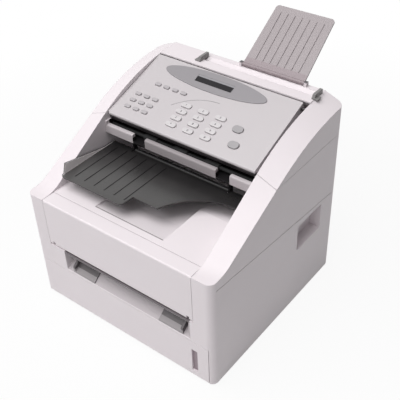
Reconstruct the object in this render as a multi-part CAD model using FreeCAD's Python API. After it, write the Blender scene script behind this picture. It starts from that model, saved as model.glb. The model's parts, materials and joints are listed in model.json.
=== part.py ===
import FreeCAD, Part
import math
import os

Vector = FreeCAD.Vector

# Driving dimensions in millimetres, x to the right, y to the rear, z up from the desk
HOUSING_WIDTH = 370.0
HOUSING_DEPTH = 350.0
WALL = 3.0
SEAM = 0.6
RUNNING_CLEARANCE = 0.08
SLIDE_CLEARANCE = 0.4
CORNER_RADIUS = 12.0
FOOT_HEIGHT = 4.0
FOOT_RADIUS = 10.0
FOOT_INSET = 34.0

# Side profile: low front lip, long slope, flat rear, with the shoulder rising inwards
LIP_HEIGHT = 217.0
LIP_DEPTH = 25.0
SIDE_RISE = 116.0
RIM_RISE = 14.0
RIM_WIDTH = 35.0
OUTER_SLOPE = 27.5
INNER_SLOPE = 31.0
OUTER_SLOPE_START = 31.0
HOLLOW_RADIUS = 60.0
CROWN_INSET = 6.0
RIM_SEAM_BACK = 160.0
SIDE_SEAM_RISE = 67.0
CHEEK_WALL_FOOT = 180.0
SIDE_LINE_FRONT = 200.0
SIDE_LINE_REAR = 170.0
SIDE_LINE_WIDTH = 1.2

# Hand grips in both sides
GRIP_LENGTH = 73.0
GRIP_HEIGHT = 51.0
GRIP_DEPTH = 20.0
GRIP_CENTRE_BACK = 266.0
GRIP_CENTRE_HEIGHT = 142.0

# Paper tray
TRAY_FRONT_INSET = 9.0
TRAY_TOP = 81.0
TRAY_BOX_INSET = 36.0
TRAY_BOX_HEIGHT = 56.0
TRAY_LENGTH = 318.0
TRAY_WALL = 2.5
TRAY_LIFT = 1.0
PLATE_LENGTH = 250.0
PLATE_THICK = 1.2
GAUGE_WIDTH = 11.0
GAUGE_HEIGHT = 47.0
GAUGE_INSET = 26.5

# Front panel with the manual feed recess, and the front cover above it
FRONT_PANEL_TOP = 125.0
RECESS_LEFT_INSET = 32.0
RECESS_RIGHT_INSET = 7.0
RECESS_SILL = 85.0
RECESS_ROOF = 121.0
RECESS_DEPTH = 32.0
RECESS_RISE = 24.0
GUIDE_INSET = 18.5
GUIDE_WIDTH = 44.0
GUIDE_FIN = 4.0
GUIDE_FIN_HEIGHT = 9.0
GUIDE_THICK = 2.0
HINGE_BARREL = 5.0
HINGE_PIN = 2.5
COVER_EAR = 4.0
COVER_EAR_INSET = 12.0

# Output tray under the scanner
FINGER_CHANNEL_HALF = 69.0
FINGER_CHANNEL_DROP = 12.0
OUTPUT_FLOOR_DROP = 30.0
OUTPUT_LENGTH = 250.0
OUTPUT_THICK = 2.5

# Control panel, sloped between the rims
PANEL_LEFT_GAP = 3.5
PANEL_RIGHT_GAP = 6.0
PANEL_TAPER = 5.0
PANEL_REAR_GAP = 2.6
PANEL_LENGTH = 147.0
PANEL_TILT = 18.5
PANEL_FRONT_BACK = 163.0
PANEL_RISE = 81.0
PANEL_THICK = 3.0
PANEL_LIP = 14.0
PANEL_FLANGE = 12.0
PANEL_HINGE_UP = 140.0
PANEL_HINGE_DOWN = 7.0
BEZEL_X = -15.0
BEZEL_UP = 125.0
BEZEL_HALF_LENGTH = 101.0
BEZEL_HALF_WIDTH = 20.0
BEZEL_THICK = 1.6
WINDOW_LENGTH = 73.0
WINDOW_WIDTH = 15.0
WINDOW_THICK = 1.2
MODULE_THICK = 6.0
KEY_TRAVEL = 1.2
KEY_GAP = 0.35
KEY_FLANGE = 1.4
KEY_FLANGE_THICK = 1.2
KEY_FLANGE_DROP = 0.2
KEY_BOARD_DROP = 7.0
KEY_BOARD_THICK = 1.6
DIAL_X = 4.0
DIAL_UP = 44.0
DIAL_COLUMN_PITCH = 34.0
DIAL_ROW_PITCH = 14.5
DIAL_KEY_LENGTH = 20.0
DIAL_KEY_WIDTH = 9.0
STOP_X = 76.0
STOP_UP = 58.0
START_X = 87.0
START_UP = 29.0
COMMAND_KEY_LENGTH = 19.0
COMMAND_KEY_WIDTH = 13.0
TOUCH_INSET = 40.5
TOUCH_UP = 40.0
TOUCH_COLUMN_PITCH = 18.0
TOUCH_ROW_PITCH = 15.0
TOUCH_KEY_LENGTH = 12.0
TOUCH_KEY_WIDTH = 6.0
FUNCTION_INSET = 68.5
FUNCTION_UP = 86.0

# Scanner frame, its rollers and the document exit tray
SCANNER_RISE = 45.0
BAR_HEIGHT = 16.0
BAR_DEPTH = 7.0
BAR_NOTCH_LEFT = -77.0
BAR_NOTCH_RIGHT = 91.0
BAR_NOTCH_HALF = 13.0
SCANNER_DEPTH = 132.0
SENSOR_DEPTH = 18.0
SENSOR_HEIGHT = 14.0
SHAFT_RADIUS = 3.0
FEED_ROLLER_RADIUS = 8.0
EXIT_ROLLER_RADIUS = 5.5
ROLLER_LENGTH = 26.0
ROLLER_SPREAD = 62.0
EXIT_TRAY_INSET = 3.0
EXIT_TRAY_RISE = 24.0
EXIT_TRAY_THICK = 2.5
EXIT_TONGUE_REACH = 125.0
EXIT_LOBE_REACH = 99.0
EXIT_SHELF_REACH = 34.0
EXIT_TONGUE_RIGHT = -17.0
EXIT_LOBE_RIGHT = 34.0
EXIT_FENCE_HEIGHT = 20.0
EXIT_RIB_PITCH = 21.0
EXIT_BARREL = 4.0
EXIT_PIN = 2.0
EXIT_EAR_X = 96.0

# Rear deck with the document hopper, guides and support
HOPPER_X = 38.0
HOPPER_FRONT_BACK = 325.0
HOPPER_WIDTH = 15.0
HOPPER_DEPTH = 16.0
DOCUMENT_INSET = 4.0
DOCUMENT_FIN = 5.0
DOCUMENT_FOOT = 11.0
DOCUMENT_FIN_HEIGHT = 7.5
SUPPORT_X = 56.0
SUPPORT_HALF = 59.0
SUPPORT_TOP_HALF = 55.0
SUPPORT_LENGTH = 118.0
SUPPORT_THICK = 2.5
SUPPORT_LEAN = 54.0
SUPPORT_BARREL = 3.5
SUPPORT_PIN = 1.8
SUPPORT_EAR = 5.0
SUPPORT_RIB_COUNT = 7

# Rear cover with the jam door, sockets and switch
DOOR_HALF = 112.0
DOOR_FOOT = 96.0
DOOR_TOP = 206.0
VENT_COUNT = 9
VENT_PITCH = 9.0
VENT_WIDTH = 4.0
VENT_LENGTH = 46.0
SOCKET_INSET = 18.0
INLET_HEIGHT = 40.0
INLET_WIDTH = 27.0
INLET_TALL = 20.0
INLET_DEEP = 17.0
INLET_PIN_WIDTH = 2.0
INLET_PIN_HEIGHT = 4.0
SWITCH_HEIGHT = 74.0
SWITCH_WIDTH = 14.0
SWITCH_TALL = 20.0
JACK_HEIGHT = 46.0
JACK_SIZE = 12.0
JACK_PITCH = 20.0
JACK_DEEP = 14.0
SCREW_HEAD = 3.4
SCREW_SHANK = 1.6
SCREW_LENGTH = 10.0

# Print engine inside
FRAME_PLATE = 2.0
FRAME_GAP = 2.0
ENGINE_SHAFT = 4.0
PICKUP_RADIUS = 12.0
PICKUP_BACK = 60.0
FUSER_BACK = 285.0
FUSER_ROLLER_RADIUS = 11.0
FUSER_HEIGHT = 122.0
EXIT_BACK = 290.0
EXIT_HEIGHT = 206.0
EXIT_RADIUS = 7.0
CARTRIDGE_LENGTH = 120.0
CARTRIDGE_HEIGHT = 62.0
CARTRIDGE_BACK = 78.0
LASER_LENGTH = 60.0
LASER_HEIGHT = 34.0
BOARD_THICK = 1.6
BOARD_STANDOFF = 12.0
SUPPLY_WIDTH = 46.0
SUPPLY_LENGTH = 130.0
SUPPLY_HEIGHT = 52.0

# Places worked out from the dimensions
HALF = HOUSING_WIDTH / 2
FRONT = -HOUSING_DEPTH / 2
REAR = HOUSING_DEPTH / 2
RIM_INNER = HALF - RIM_WIDTH
SIDE_HEIGHT = LIP_HEIGHT + SIDE_RISE
SIDE_SEAM_HEIGHT = LIP_HEIGHT + SIDE_SEAM_RISE
RIM_TOP = SIDE_HEIGHT + RIM_RISE
RIM_SEAM_Y = FRONT + RIM_SEAM_BACK
PAN_TOP = FOOT_HEIGHT + WALL
TRAY_FLOOR = PAN_TOP + TRAY_LIFT
TRAY_FRONT_HALF = HALF - TRAY_FRONT_INSET
TRAY_BOX_HALF = RIM_INNER - TRAY_BOX_INSET
GAUGE_CENTRE = TRAY_FRONT_HALF - GAUGE_INSET
RECESS_LEFT = RECESS_LEFT_INSET - RIM_INNER
RECESS_RIGHT = RIM_INNER - RECESS_RIGHT_INSET
GUIDE_SPREAD = RECESS_RIGHT - RECESS_LEFT - 2 * GUIDE_INSET
INLET_X = SOCKET_INSET - RIM_INNER
JACK_X = RIM_INNER - SOCKET_INSET
PANEL_LEFT = PANEL_LEFT_GAP - RIM_INNER
PANEL_RIGHT = RIM_INNER - PANEL_RIGHT_GAP
PANEL_TAIL = PANEL_RIGHT - PANEL_TAPER
TOUCH_X = PANEL_LEFT + TOUCH_INSET
FUNCTION_X = PANEL_LEFT + FUNCTION_INSET
EXIT_TRAY_HALF = RIM_INNER - EXIT_TRAY_INSET
EXIT_TRAY_TOP = LIP_HEIGHT + EXIT_TRAY_RISE
SCANNER_BOTTOM = LIP_HEIGHT + SCANNER_RISE
BAR_TOP = SCANNER_BOTTOM + BAR_HEIGHT
HOPPER_HALF = RIM_INNER - HOPPER_X
DOCUMENT_HALF = HOPPER_HALF - DOCUMENT_INSET
RAIL_INNER = TRAY_BOX_HALF + SLIDE_CLEARANCE
FRAME_INNER = RAIL_INNER
FRAME_FOOT = TRAY_TOP + FRAME_GAP
OUTPUT_FLOOR_LOW = LIP_HEIGHT - OUTPUT_FLOOR_DROP
OUTPUT_FRONT = FRONT + LIP_DEPTH + SEAM
OUTPUT_REAR = OUTPUT_FRONT + OUTPUT_LENGTH
FRAME_TOP = OUTPUT_FLOOR_LOW - OUTPUT_THICK
COVER_AXIS_Y = FRONT + HINGE_BARREL
COVER_AXIS_Z = FRONT_PANEL_TOP + SEAM + HINGE_BARREL
DOOR_AXIS_Y = REAR - HINGE_BARREL
DOOR_AXIS_Z = DOOR_FOOT + SEAM + HINGE_BARREL
PANEL_FRONT_Y = FRONT + PANEL_FRONT_BACK
PANEL_FRONT_HEIGHT = LIP_HEIGHT + PANEL_RISE
PANEL_FRAME = FreeCAD.Placement(Vector(0, PANEL_FRONT_Y, PANEL_FRONT_HEIGHT),
                                FreeCAD.Rotation(Vector(1, 0, 0), PANEL_TILT))
PANEL_AXIS = PANEL_FRAME.multVec(Vector(0, PANEL_HINGE_UP, -PANEL_HINGE_DOWN))
DECK_FRONT = PANEL_FRAME.multVec(Vector(0, PANEL_LENGTH, 0)).y + PANEL_REAR_GAP
DECK_UNDER = RIM_TOP - WALL
HOPPER_FRONT = FRONT + HOPPER_FRONT_BACK
HOPPER_REAR = HOPPER_FRONT + HOPPER_WIDTH
SCANNER_FRONT = PANEL_FRONT_Y - BAR_DEPTH
SCANNER_REAR = SCANNER_FRONT + SCANNER_DEPTH
EXIT_AXIS_Y = SCANNER_FRONT + BAR_DEPTH + EXIT_BARREL + SEAM
EXIT_AXIS_Z = EXIT_TRAY_TOP - EXIT_TRAY_THICK / 2
FEED_ROLLER_Y = SCANNER_REAR - 2 * FEED_ROLLER_RADIUS
FEED_ROLLER_Z = SCANNER_BOTTOM + WALL + FEED_ROLLER_RADIUS + 2 * WALL
EXIT_ROLLER_Y = SCANNER_FRONT + BAR_DEPTH + EXIT_ROLLER_RADIUS + WALL
EXIT_ROLLER_Z = BAR_TOP - EXIT_ROLLER_RADIUS
SUPPORT_AXIS_Y = HOPPER_REAR + SUPPORT_BARREL + SEAM
SUPPORT_AXIS_Z = RIM_TOP + SUPPORT_BARREL + SEAM / 2
KEY_TOP = 2 * KEY_TRAVEL
KEY_FLANGE_TOP = -PANEL_THICK - KEY_FLANGE_DROP
KEY_BOARD_TOP = -PANEL_THICK - KEY_BOARD_DROP
PICKUP_Y = FRONT + PICKUP_BACK
PICKUP_Z = FRAME_FOOT + PICKUP_RADIUS + WALL
FUSER_Y = FRONT + FUSER_BACK
PRINT_EXIT_Y = FRONT + EXIT_BACK
RECESS_ANGLE = math.degrees(math.atan2(RECESS_RISE, RECESS_DEPTH))
RECESS_CENTRE = (RECESS_LEFT + RECESS_RIGHT) / 2


def box(x0, x1, y0, y1, z0, z1):
    """A block between two corners."""
    return Part.makeBox(x1 - x0, y1 - y0, z1 - z0, Vector(x0, y0, z0))


def across(points, x0, x1):
    """A section given as (y, z) points, extruded across the machine."""
    wire = Part.makePolygon([Vector(x0, y, z) for y, z in points + points[:1]])
    return Part.Face(wire).extrude(Vector(x1 - x0, 0, 0))


def rod(x0, x1, y, z, radius):
    """A round bar across the machine."""
    return Part.makeCylinder(radius, x1 - x0, Vector(x0, y, z), Vector(1, 0, 0))


def joined(shapes):
    """Several touching shapes as one solid."""
    return shapes[0].multiFuse(shapes[1:]).removeSplitter()


def mirrored(shape):
    """The same shape on the other side of the middle plane."""
    return shape.mirror(Vector(0, 0, 0), Vector(1, 0, 0))


def side_profile(x, start, slope, top, inset):
    """The side outline at one x, drawn inwards by an inset, as lines and tangent arcs."""
    half_turn = math.radians(slope) / 2
    lip = LIP_HEIGHT - inset
    high = top - inset
    foot = FOOT_HEIGHT - inset
    hollow = HOLLOW_RADIUS + inset
    corner = FRONT + start + inset * math.tan(half_turn)
    crest = corner + (high - lip) / math.tan(2 * half_turn)
    crown = (REAR - CROWN_INSET - inset - crest) / math.tan(half_turn)
    rise_y = math.cos(2 * half_turn)
    rise_z = math.sin(2 * half_turn)
    low_run = hollow * math.tan(half_turn)
    high_run = crown * math.tan(half_turn)
    a = Vector(x, FRONT + inset, foot)
    b = Vector(x, FRONT + inset, lip)
    c = Vector(x, corner - low_run, lip)
    c_mid = Vector(x, c.y + hollow * math.sin(half_turn), lip + hollow * (1 - math.cos(half_turn)))
    d = Vector(x, corner + low_run * rise_y, lip + low_run * rise_z)
    e = Vector(x, crest - high_run * rise_y, high - high_run * rise_z)
    f = Vector(x, crest + high_run, high)
    e_mid = Vector(x, f.y - crown * math.sin(half_turn), high - crown * (1 - math.cos(half_turn)))
    g = Vector(x, REAR - inset, high)
    h = Vector(x, REAR - inset, foot)
    edges = [Part.makeLine(a, b), Part.makeLine(b, c), Part.Arc(c, c_mid, d).toShape(), Part.makeLine(d, e),
             Part.Arc(e, e_mid, f).toShape(), Part.makeLine(f, g), Part.makeLine(g, h), Part.makeLine(h, a)]
    return Part.Wire(edges)


def rounded_uprights(shape, x, radius):
    """Rounds the front and rear upright edges of a side block at one x."""
    uprights = []
    for edge in shape.Edges:
        bounds = edge.BoundBox
        if bounds.XLength < 0.01 and bounds.YLength < 0.01 and abs(bounds.XMin - x) < 0.01:
            uprights.append(edge)
    return shape.makeFillet(radius, uprights)


def side_shell():
    """The right side moulding as a hollow shell, from the shoulder to the foot."""
    inner = side_profile(RIM_INNER, LIP_DEPTH, INNER_SLOPE, RIM_TOP, 0)
    outer = side_profile(HALF, OUTER_SLOPE_START, OUTER_SLOPE, SIDE_HEIGHT, 0)
    block = rounded_uprights(Part.makeLoft([inner, outer], True, True), HALF, CORNER_RADIUS)
    inner_core = side_profile(RIM_INNER + WALL, LIP_DEPTH, INNER_SLOPE, RIM_TOP, WALL)
    outer_core = side_profile(HALF - WALL, OUTER_SLOPE_START, OUTER_SLOPE, SIDE_HEIGHT, WALL)
    core = rounded_uprights(Part.makeLoft([inner_core, outer_core], True, True), HALF - WALL,
                            CORNER_RADIUS - WALL)
    return block.cut(core)


def upper_region(gap):
    """The space behind the rim seam and above the side seam."""
    return box(-HALF, HALF, RIM_SEAM_Y + gap, REAR + gap, SIDE_SEAM_HEIGHT + gap, RIM_TOP + WALL)


def side_cover(shell):
    """One side cover: the shell below the seams, with its hand grip."""
    cover = shell.cut(upper_region(0))
    inside = box(RIM_INNER - 1, RIM_INNER + WALL, FRONT + WALL, REAR - WALL, 0, CHEEK_WALL_FOOT)
    tray_gap = box(RIM_INNER - 1, TRAY_FRONT_HALF + SEAM, FRONT - 1, FRONT + WALL, 0, TRAY_TOP + SEAM)
    y = FRONT + GRIP_CENTRE_BACK
    half_length = GRIP_LENGTH / 2
    half_height = GRIP_HEIGHT / 2
    low = GRIP_CENTRE_HEIGHT - half_height
    high = GRIP_CENTRE_HEIGHT + half_height
    pocket = box(HALF - GRIP_DEPTH - WALL, HALF - WALL, y - half_length - WALL, y + half_length + WALL,
                 low - WALL, high + WALL)
    hollow = box(HALF - GRIP_DEPTH, HALF + 1, y - half_length, y + half_length, low, high)
    line = [(FRONT + CORNER_RADIUS, SIDE_LINE_FRONT), (REAR - CORNER_RADIUS, SIDE_LINE_REAR)]
    groove = across(line + [(y, z + SIDE_LINE_WIDTH) for y, z in reversed(line)], HALF - SEAM, HALF + 1)
    return joined([cover.cut(inside).cut(tray_gap), pocket]).cut(hollow).cut(groove)


def base_pan():
    """The bottom moulding with the rails that the paper tray runs between."""
    edge = HALF - WALL - SEAM
    front = FRONT + WALL + SEAM + TRAY_WALL
    rear = REAR - WALL
    plate = box(-edge + CORNER_RADIUS, edge - CORNER_RADIUS, front, rear, FOOT_HEIGHT, PAN_TOP)
    rail_rear = rear - INLET_DEEP - 2 * WALL
    rail = box(RAIL_INNER, RAIL_INNER + WALL, front, rail_rear, FOOT_HEIGHT, FRAME_FOOT)
    stop = box(-RAIL_INNER / 2, RAIL_INNER / 2, rear - WALL, rear, FOOT_HEIGHT, TRAY_FLOOR + TRAY_BOX_HEIGHT)
    return joined([plate, rail, mirrored(rail), stop])


def rubber_feet():
    """Four tapered rubber feet under the pan."""
    feet = []
    for x in (-HALF + FOOT_INSET, HALF - FOOT_INSET):
        for y in (FRONT + FOOT_INSET, REAR - FOOT_INSET):
            feet.append(Part.makeCone(FOOT_RADIUS - 1, FOOT_RADIUS, FOOT_HEIGHT, Vector(x, y, 0)))
    return Part.makeCompound(feet)


def upper_housing(shell):
    """The rear top: both rims, the deck with its hopper chute, the rear wall and the support ears."""
    rim = shell.common(upper_region(SEAM))
    deck = box(-RIM_INNER, RIM_INNER, DECK_FRONT, REAR, DECK_UNDER, RIM_TOP)
    wall = box(-RIM_INNER, RIM_INNER, REAR - WALL, REAR, SIDE_SEAM_HEIGHT + SEAM, RIM_TOP)
    left = HOPPER_X - HOPPER_HALF
    right = HOPPER_X + HOPPER_HALF
    chute = box(left - WALL, right, HOPPER_FRONT - WALL, HOPPER_REAR + WALL, DECK_UNDER - HOPPER_DEPTH,
                DECK_UNDER)
    slot = box(left, right, HOPPER_FRONT, HOPPER_REAR, DECK_UNDER - HOPPER_DEPTH - 1, RIM_TOP + 1)
    ears = []
    for side in (-1, 1):
        inside = SUPPORT_X + side * (SUPPORT_HALF + SEAM)
        outside = inside + side * SUPPORT_EAR
        ears.append(box(min(inside, outside), max(inside, outside), HOPPER_REAR + SEAM,
                        SUPPORT_AXIS_Y + SUPPORT_BARREL, RIM_TOP - WALL, SUPPORT_AXIS_Z + SUPPORT_BARREL))
    body = joined([rim, mirrored(rim), deck, wall, chute] + ears).cut(slot)
    reach = SUPPORT_HALF + SEAM + SUPPORT_EAR
    support_bore = rod(SUPPORT_X - reach, SUPPORT_X + reach, SUPPORT_AXIS_Y, SUPPORT_AXIS_Z,
                       SUPPORT_PIN + RUNNING_CLEARANCE)
    panel_bore = rod(RIM_INNER, RIM_INNER + WALL, PANEL_AXIS.y, PANEL_AXIS.z, HINGE_PIN + RUNNING_CLEARANCE)
    return body.cut(support_bore).cut(panel_bore).cut(mirrored(panel_bore))


def key_outline(length, width, grow, z, height):
    """A stadium-shaped prism in the panel's own frame, centred on the axis."""
    radius = width / 2 + grow
    run = (length - width) / 2
    top_left = Vector(-run, radius, z)
    top_right = Vector(run, radius, z)
    low_left = Vector(-run, -radius, z)
    low_right = Vector(run, -radius, z)
    edges = [Part.makeLine(low_left, low_right),
             Part.Arc(low_right, Vector(run + radius, 0, z), top_right).toShape(),
             Part.makeLine(top_right, top_left),
             Part.Arc(top_left, Vector(-run - radius, 0, z), low_left).toShape()]
    return Part.Face(Part.Wire(edges)).extrude(Vector(0, 0, height))


def key_hole(length, width, x, up):
    """The hole in the panel that one key cap passes through."""
    return key_outline(length, width, KEY_GAP, -PANEL_THICK - 1,
                       PANEL_THICK + 2).translated(Vector(x, up, 0))


def key_cap(length, width, x, up):
    """One key: a cap with a softened top edge and a flange that keeps it under the panel."""
    height = KEY_TOP - KEY_FLANGE_TOP
    cap = key_outline(length, width, 0, KEY_FLANGE_TOP, height)
    crest = [edge for edge in cap.Edges if abs(edge.BoundBox.ZMin - KEY_TOP) < 0.01]
    cap = cap.makeFillet(KEY_TOP / 3, crest)
    flange = key_outline(length, width, KEY_FLANGE, KEY_FLANGE_TOP - KEY_FLANGE_THICK, KEY_FLANGE_THICK)
    return joined([cap, flange]).translated(Vector(x, up, 0))


def dial_places():
    """The twelve dial keys: their names and places on the panel, row by row from the rear."""
    names = ["1", "2", "3", "4", "5", "6", "7", "8", "9", "star", "0", "hash"]
    places = []
    for index, name in enumerate(names):
        row, column = divmod(index, 3)
        x = DIAL_X + (column - 1) * DIAL_COLUMN_PITCH
        up = DIAL_UP + (1.5 - row) * DIAL_ROW_PITCH
        places.append(("dial_key_" + name, x, up))
    return places


def touch_places():
    """The nine one-touch keys at the left of the panel."""
    return [(TOUCH_X + column * TOUCH_COLUMN_PITCH, TOUCH_UP + row * TOUCH_ROW_PITCH)
            for row in (-1, 0, 1) for column in (-1, 0, 1)]


def function_places():
    """The four function keys in a row below the display."""
    return [(FUNCTION_X + (column - 1.5) * TOUCH_COLUMN_PITCH, FUNCTION_UP) for column in range(4)]


def key_strip(places):
    """A row or block of small keys moulded on one thin web."""
    shapes = [key_cap(TOUCH_KEY_LENGTH, TOUCH_KEY_WIDTH, x, up) for x, up in places]
    xs = [x for x, up in places]
    ups = [up for x, up in places]
    web = box(min(xs), max(xs), min(ups) - TOUCH_KEY_WIDTH / 4, max(ups) + TOUCH_KEY_WIDTH / 4,
              KEY_FLANGE_TOP - KEY_FLANGE_THICK, KEY_FLANGE_TOP)
    return joined(shapes + [web]).transformed(PANEL_FRAME.toMatrix())


def control_panel():
    """The sloped panel plate with its lip, flanges, hinge pins and all key holes."""
    plate = box(PANEL_LEFT, PANEL_RIGHT, 0, PANEL_LENGTH, -PANEL_THICK, 0)
    lip = box(PANEL_LEFT, PANEL_RIGHT, 0, WALL, -PANEL_LIP, 0)
    left_flange = box(PANEL_LEFT, PANEL_LEFT + WALL, 0, PANEL_LENGTH, -PANEL_FLANGE, 0)
    right_flange = box(PANEL_TAIL - WALL, PANEL_RIGHT, 0, PANEL_LENGTH, -PANEL_FLANGE, 0)
    corners = [Vector(PANEL_RIGHT, 0, -PANEL_LIP), Vector(PANEL_RIGHT, PANEL_LENGTH, -PANEL_LIP),
               Vector(PANEL_TAIL, PANEL_LENGTH, -PANEL_LIP)]
    taper = Part.Face(Part.makePolygon(corners + corners[:1])).extrude(Vector(0, 0, PANEL_LIP))
    reach = RIM_INNER + WALL - SEAM
    left_pin = rod(-reach, PANEL_LEFT + WALL, PANEL_HINGE_UP, -PANEL_HINGE_DOWN, HINGE_PIN)
    right_pin = rod(PANEL_TAIL - WALL, reach, PANEL_HINGE_UP, -PANEL_HINGE_DOWN, HINGE_PIN)
    body = joined([joined([plate, lip, left_flange, right_flange]).cut(taper), left_pin, right_pin])
    holes = [key_hole(DIAL_KEY_LENGTH, DIAL_KEY_WIDTH, x, up) for _, x, up in dial_places()]
    holes += [key_hole(TOUCH_KEY_LENGTH, TOUCH_KEY_WIDTH, x, up) for x,
              up in touch_places() + function_places()]
    holes.append(key_hole(COMMAND_KEY_LENGTH, COMMAND_KEY_WIDTH, STOP_X, STOP_UP))
    holes.append(key_hole(COMMAND_KEY_LENGTH, COMMAND_KEY_WIDTH, START_X, START_UP))
    holes.append(box(BEZEL_X - WINDOW_LENGTH / 2, BEZEL_X + WINDOW_LENGTH / 2, BEZEL_UP - WINDOW_WIDTH / 2,
                     BEZEL_UP + WINDOW_WIDTH / 2, -PANEL_THICK - 1, 1))
    crest = [edge for edge in body.Edges if abs(edge.BoundBox.YMax) < 0.01 and abs(edge.BoundBox.ZMin) < 0.01]
    body = body.makeFillet(WALL * 0.9, crest)
    return body.cut(Part.makeCompound(holes)).transformed(PANEL_FRAME.toMatrix())


def display_bezel():
    """The oval surround of the display, with its window."""
    oval = Part.Ellipse(Vector(BEZEL_X, BEZEL_UP, 0), BEZEL_HALF_LENGTH, BEZEL_HALF_WIDTH)
    plate = Part.Face(Part.Wire([oval.toShape()])).extrude(Vector(0, 0, BEZEL_THICK))
    crest = [edge for edge in plate.Edges if abs(edge.BoundBox.ZMin - BEZEL_THICK) < 0.01]
    plate = plate.makeFillet(BEZEL_THICK / 2, crest)
    hole = box(BEZEL_X - WINDOW_LENGTH / 2, BEZEL_X + WINDOW_LENGTH / 2, BEZEL_UP - WINDOW_WIDTH / 2,
               BEZEL_UP + WINDOW_WIDTH / 2, -1, BEZEL_THICK + 1)
    return plate.cut(hole).transformed(PANEL_FRAME.toMatrix())


def display_layer(bottom, thick):
    """A flat layer that fills the display window."""
    return box(BEZEL_X - WINDOW_LENGTH / 2, BEZEL_X + WINDOW_LENGTH / 2, BEZEL_UP - WINDOW_WIDTH / 2,
               BEZEL_UP + WINDOW_WIDTH / 2, bottom, bottom + thick).transformed(PANEL_FRAME.toMatrix())


def key_board():
    """The circuit board under the keys, held on posts from the panel's flanges."""
    top = KEY_BOARD_TOP
    plate = box(PANEL_LEFT + WALL, PANEL_TAIL - WALL, 2 * WALL, BEZEL_UP - BEZEL_HALF_WIDTH,
                top - KEY_BOARD_THICK, top)
    return plate.transformed(PANEL_FRAME.toMatrix())


def front_panel():
    """The fixed front with the manual feed recess, its sloped floor and the front cover's hinge ears."""
    low = TRAY_TOP + SEAM
    wall = box(-RIM_INNER, RIM_INNER, FRONT, FRONT + WALL, low, FRONT_PANEL_TOP)
    opening = box(RECESS_LEFT, RECESS_RIGHT, FRONT - 1, FRONT + WALL + 1, RECESS_SILL, RECESS_ROOF)
    floor_rear = FRONT + RECESS_DEPTH
    floor = across([(FRONT, RECESS_SILL), (floor_rear, RECESS_SILL + RECESS_RISE),
                    (floor_rear, RECESS_SILL + RECESS_RISE - WALL), (FRONT + WALL, low), (FRONT, low)],
                   RECESS_LEFT - WALL, RECESS_RIGHT + WALL)
    roof = box(RECESS_LEFT - WALL, RECESS_RIGHT + WALL, FRONT + WALL, floor_rear, RECESS_ROOF,
               FRONT_PANEL_TOP)
    cheeks = [box(x, x + WALL, FRONT + WALL, floor_rear, RECESS_SILL, FRONT_PANEL_TOP)
              for x in (RECESS_LEFT - WALL, RECESS_RIGHT)]
    body = joined([wall.cut(opening), floor, roof] + cheeks)
    ear_x = RIM_INNER - COVER_EAR_INSET
    ear = box(ear_x, ear_x + COVER_EAR, FRONT + WALL, COVER_AXIS_Y + HINGE_BARREL,
              FRONT_PANEL_TOP - 2 * WALL,
              COVER_AXIS_Z + HINGE_BARREL)
    swing = rod(-RIM_INNER, RIM_INNER, COVER_AXIS_Y, COVER_AXIS_Z, HINGE_BARREL + SEAM)
    bore = rod(-RIM_INNER, RIM_INNER, COVER_AXIS_Y, COVER_AXIS_Z, HINGE_PIN + RUNNING_CLEARANCE)
    tie = box(ear_x, RIM_INNER, FRONT + WALL, COVER_AXIS_Y + HINGE_BARREL, low, FRONT_PANEL_TOP - 2 * WALL)
    clear = box(-RIM_INNER, RIM_INNER, FRONT - 1, FRONT + WALL, FRONT_PANEL_TOP, COVER_AXIS_Z)
    body = body.cut(swing)
    return joined([body, ear, mirrored(ear), tie, mirrored(tie)]).cut(bore).cut(clear)


def front_cover():
    """The front cover with its top lip, hinge barrel and pins, open at the inside."""
    half = RIM_INNER - SEAM
    skin = box(-half, half, FRONT, FRONT + WALL, COVER_AXIS_Z, LIP_HEIGHT)
    lip = box(-half, half, FRONT, FRONT + LIP_DEPTH, LIP_HEIGHT - WALL, LIP_HEIGHT)
    end = box(half - WALL, half, FRONT, FRONT + LIP_DEPTH, COVER_AXIS_Z + 2 * HINGE_BARREL, LIP_HEIGHT)
    barrel = rod(-half, half, COVER_AXIS_Y, COVER_AXIS_Z, HINGE_BARREL)
    body = joined([skin, lip, end, mirrored(end), barrel])
    crest = [edge for edge in body.Edges
             if abs(edge.BoundBox.YMax - FRONT) < 0.01 and abs(edge.BoundBox.ZMin - LIP_HEIGHT) < 0.01]
    body = body.makeFillet(WALL * 0.9, crest)
    ear_x = RIM_INNER - COVER_EAR_INSET
    notch = box(ear_x - SEAM, ear_x + COVER_EAR + SEAM, FRONT + WALL, COVER_AXIS_Y + 2 * HINGE_BARREL,
                COVER_AXIS_Z - 2 * HINGE_BARREL, COVER_AXIS_Z + 2 * HINGE_BARREL)
    notch = notch.fuse(rod(ear_x - SEAM, ear_x + COVER_EAR + SEAM, COVER_AXIS_Y, COVER_AXIS_Z,
                           HINGE_BARREL + SEAM))
    pin = rod(ear_x - SEAM, ear_x + COVER_EAR + SEAM, COVER_AXIS_Y, COVER_AXIS_Z, HINGE_PIN)
    return joined([body.cut(notch).cut(mirrored(notch)), pin, mirrored(pin)])


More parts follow.
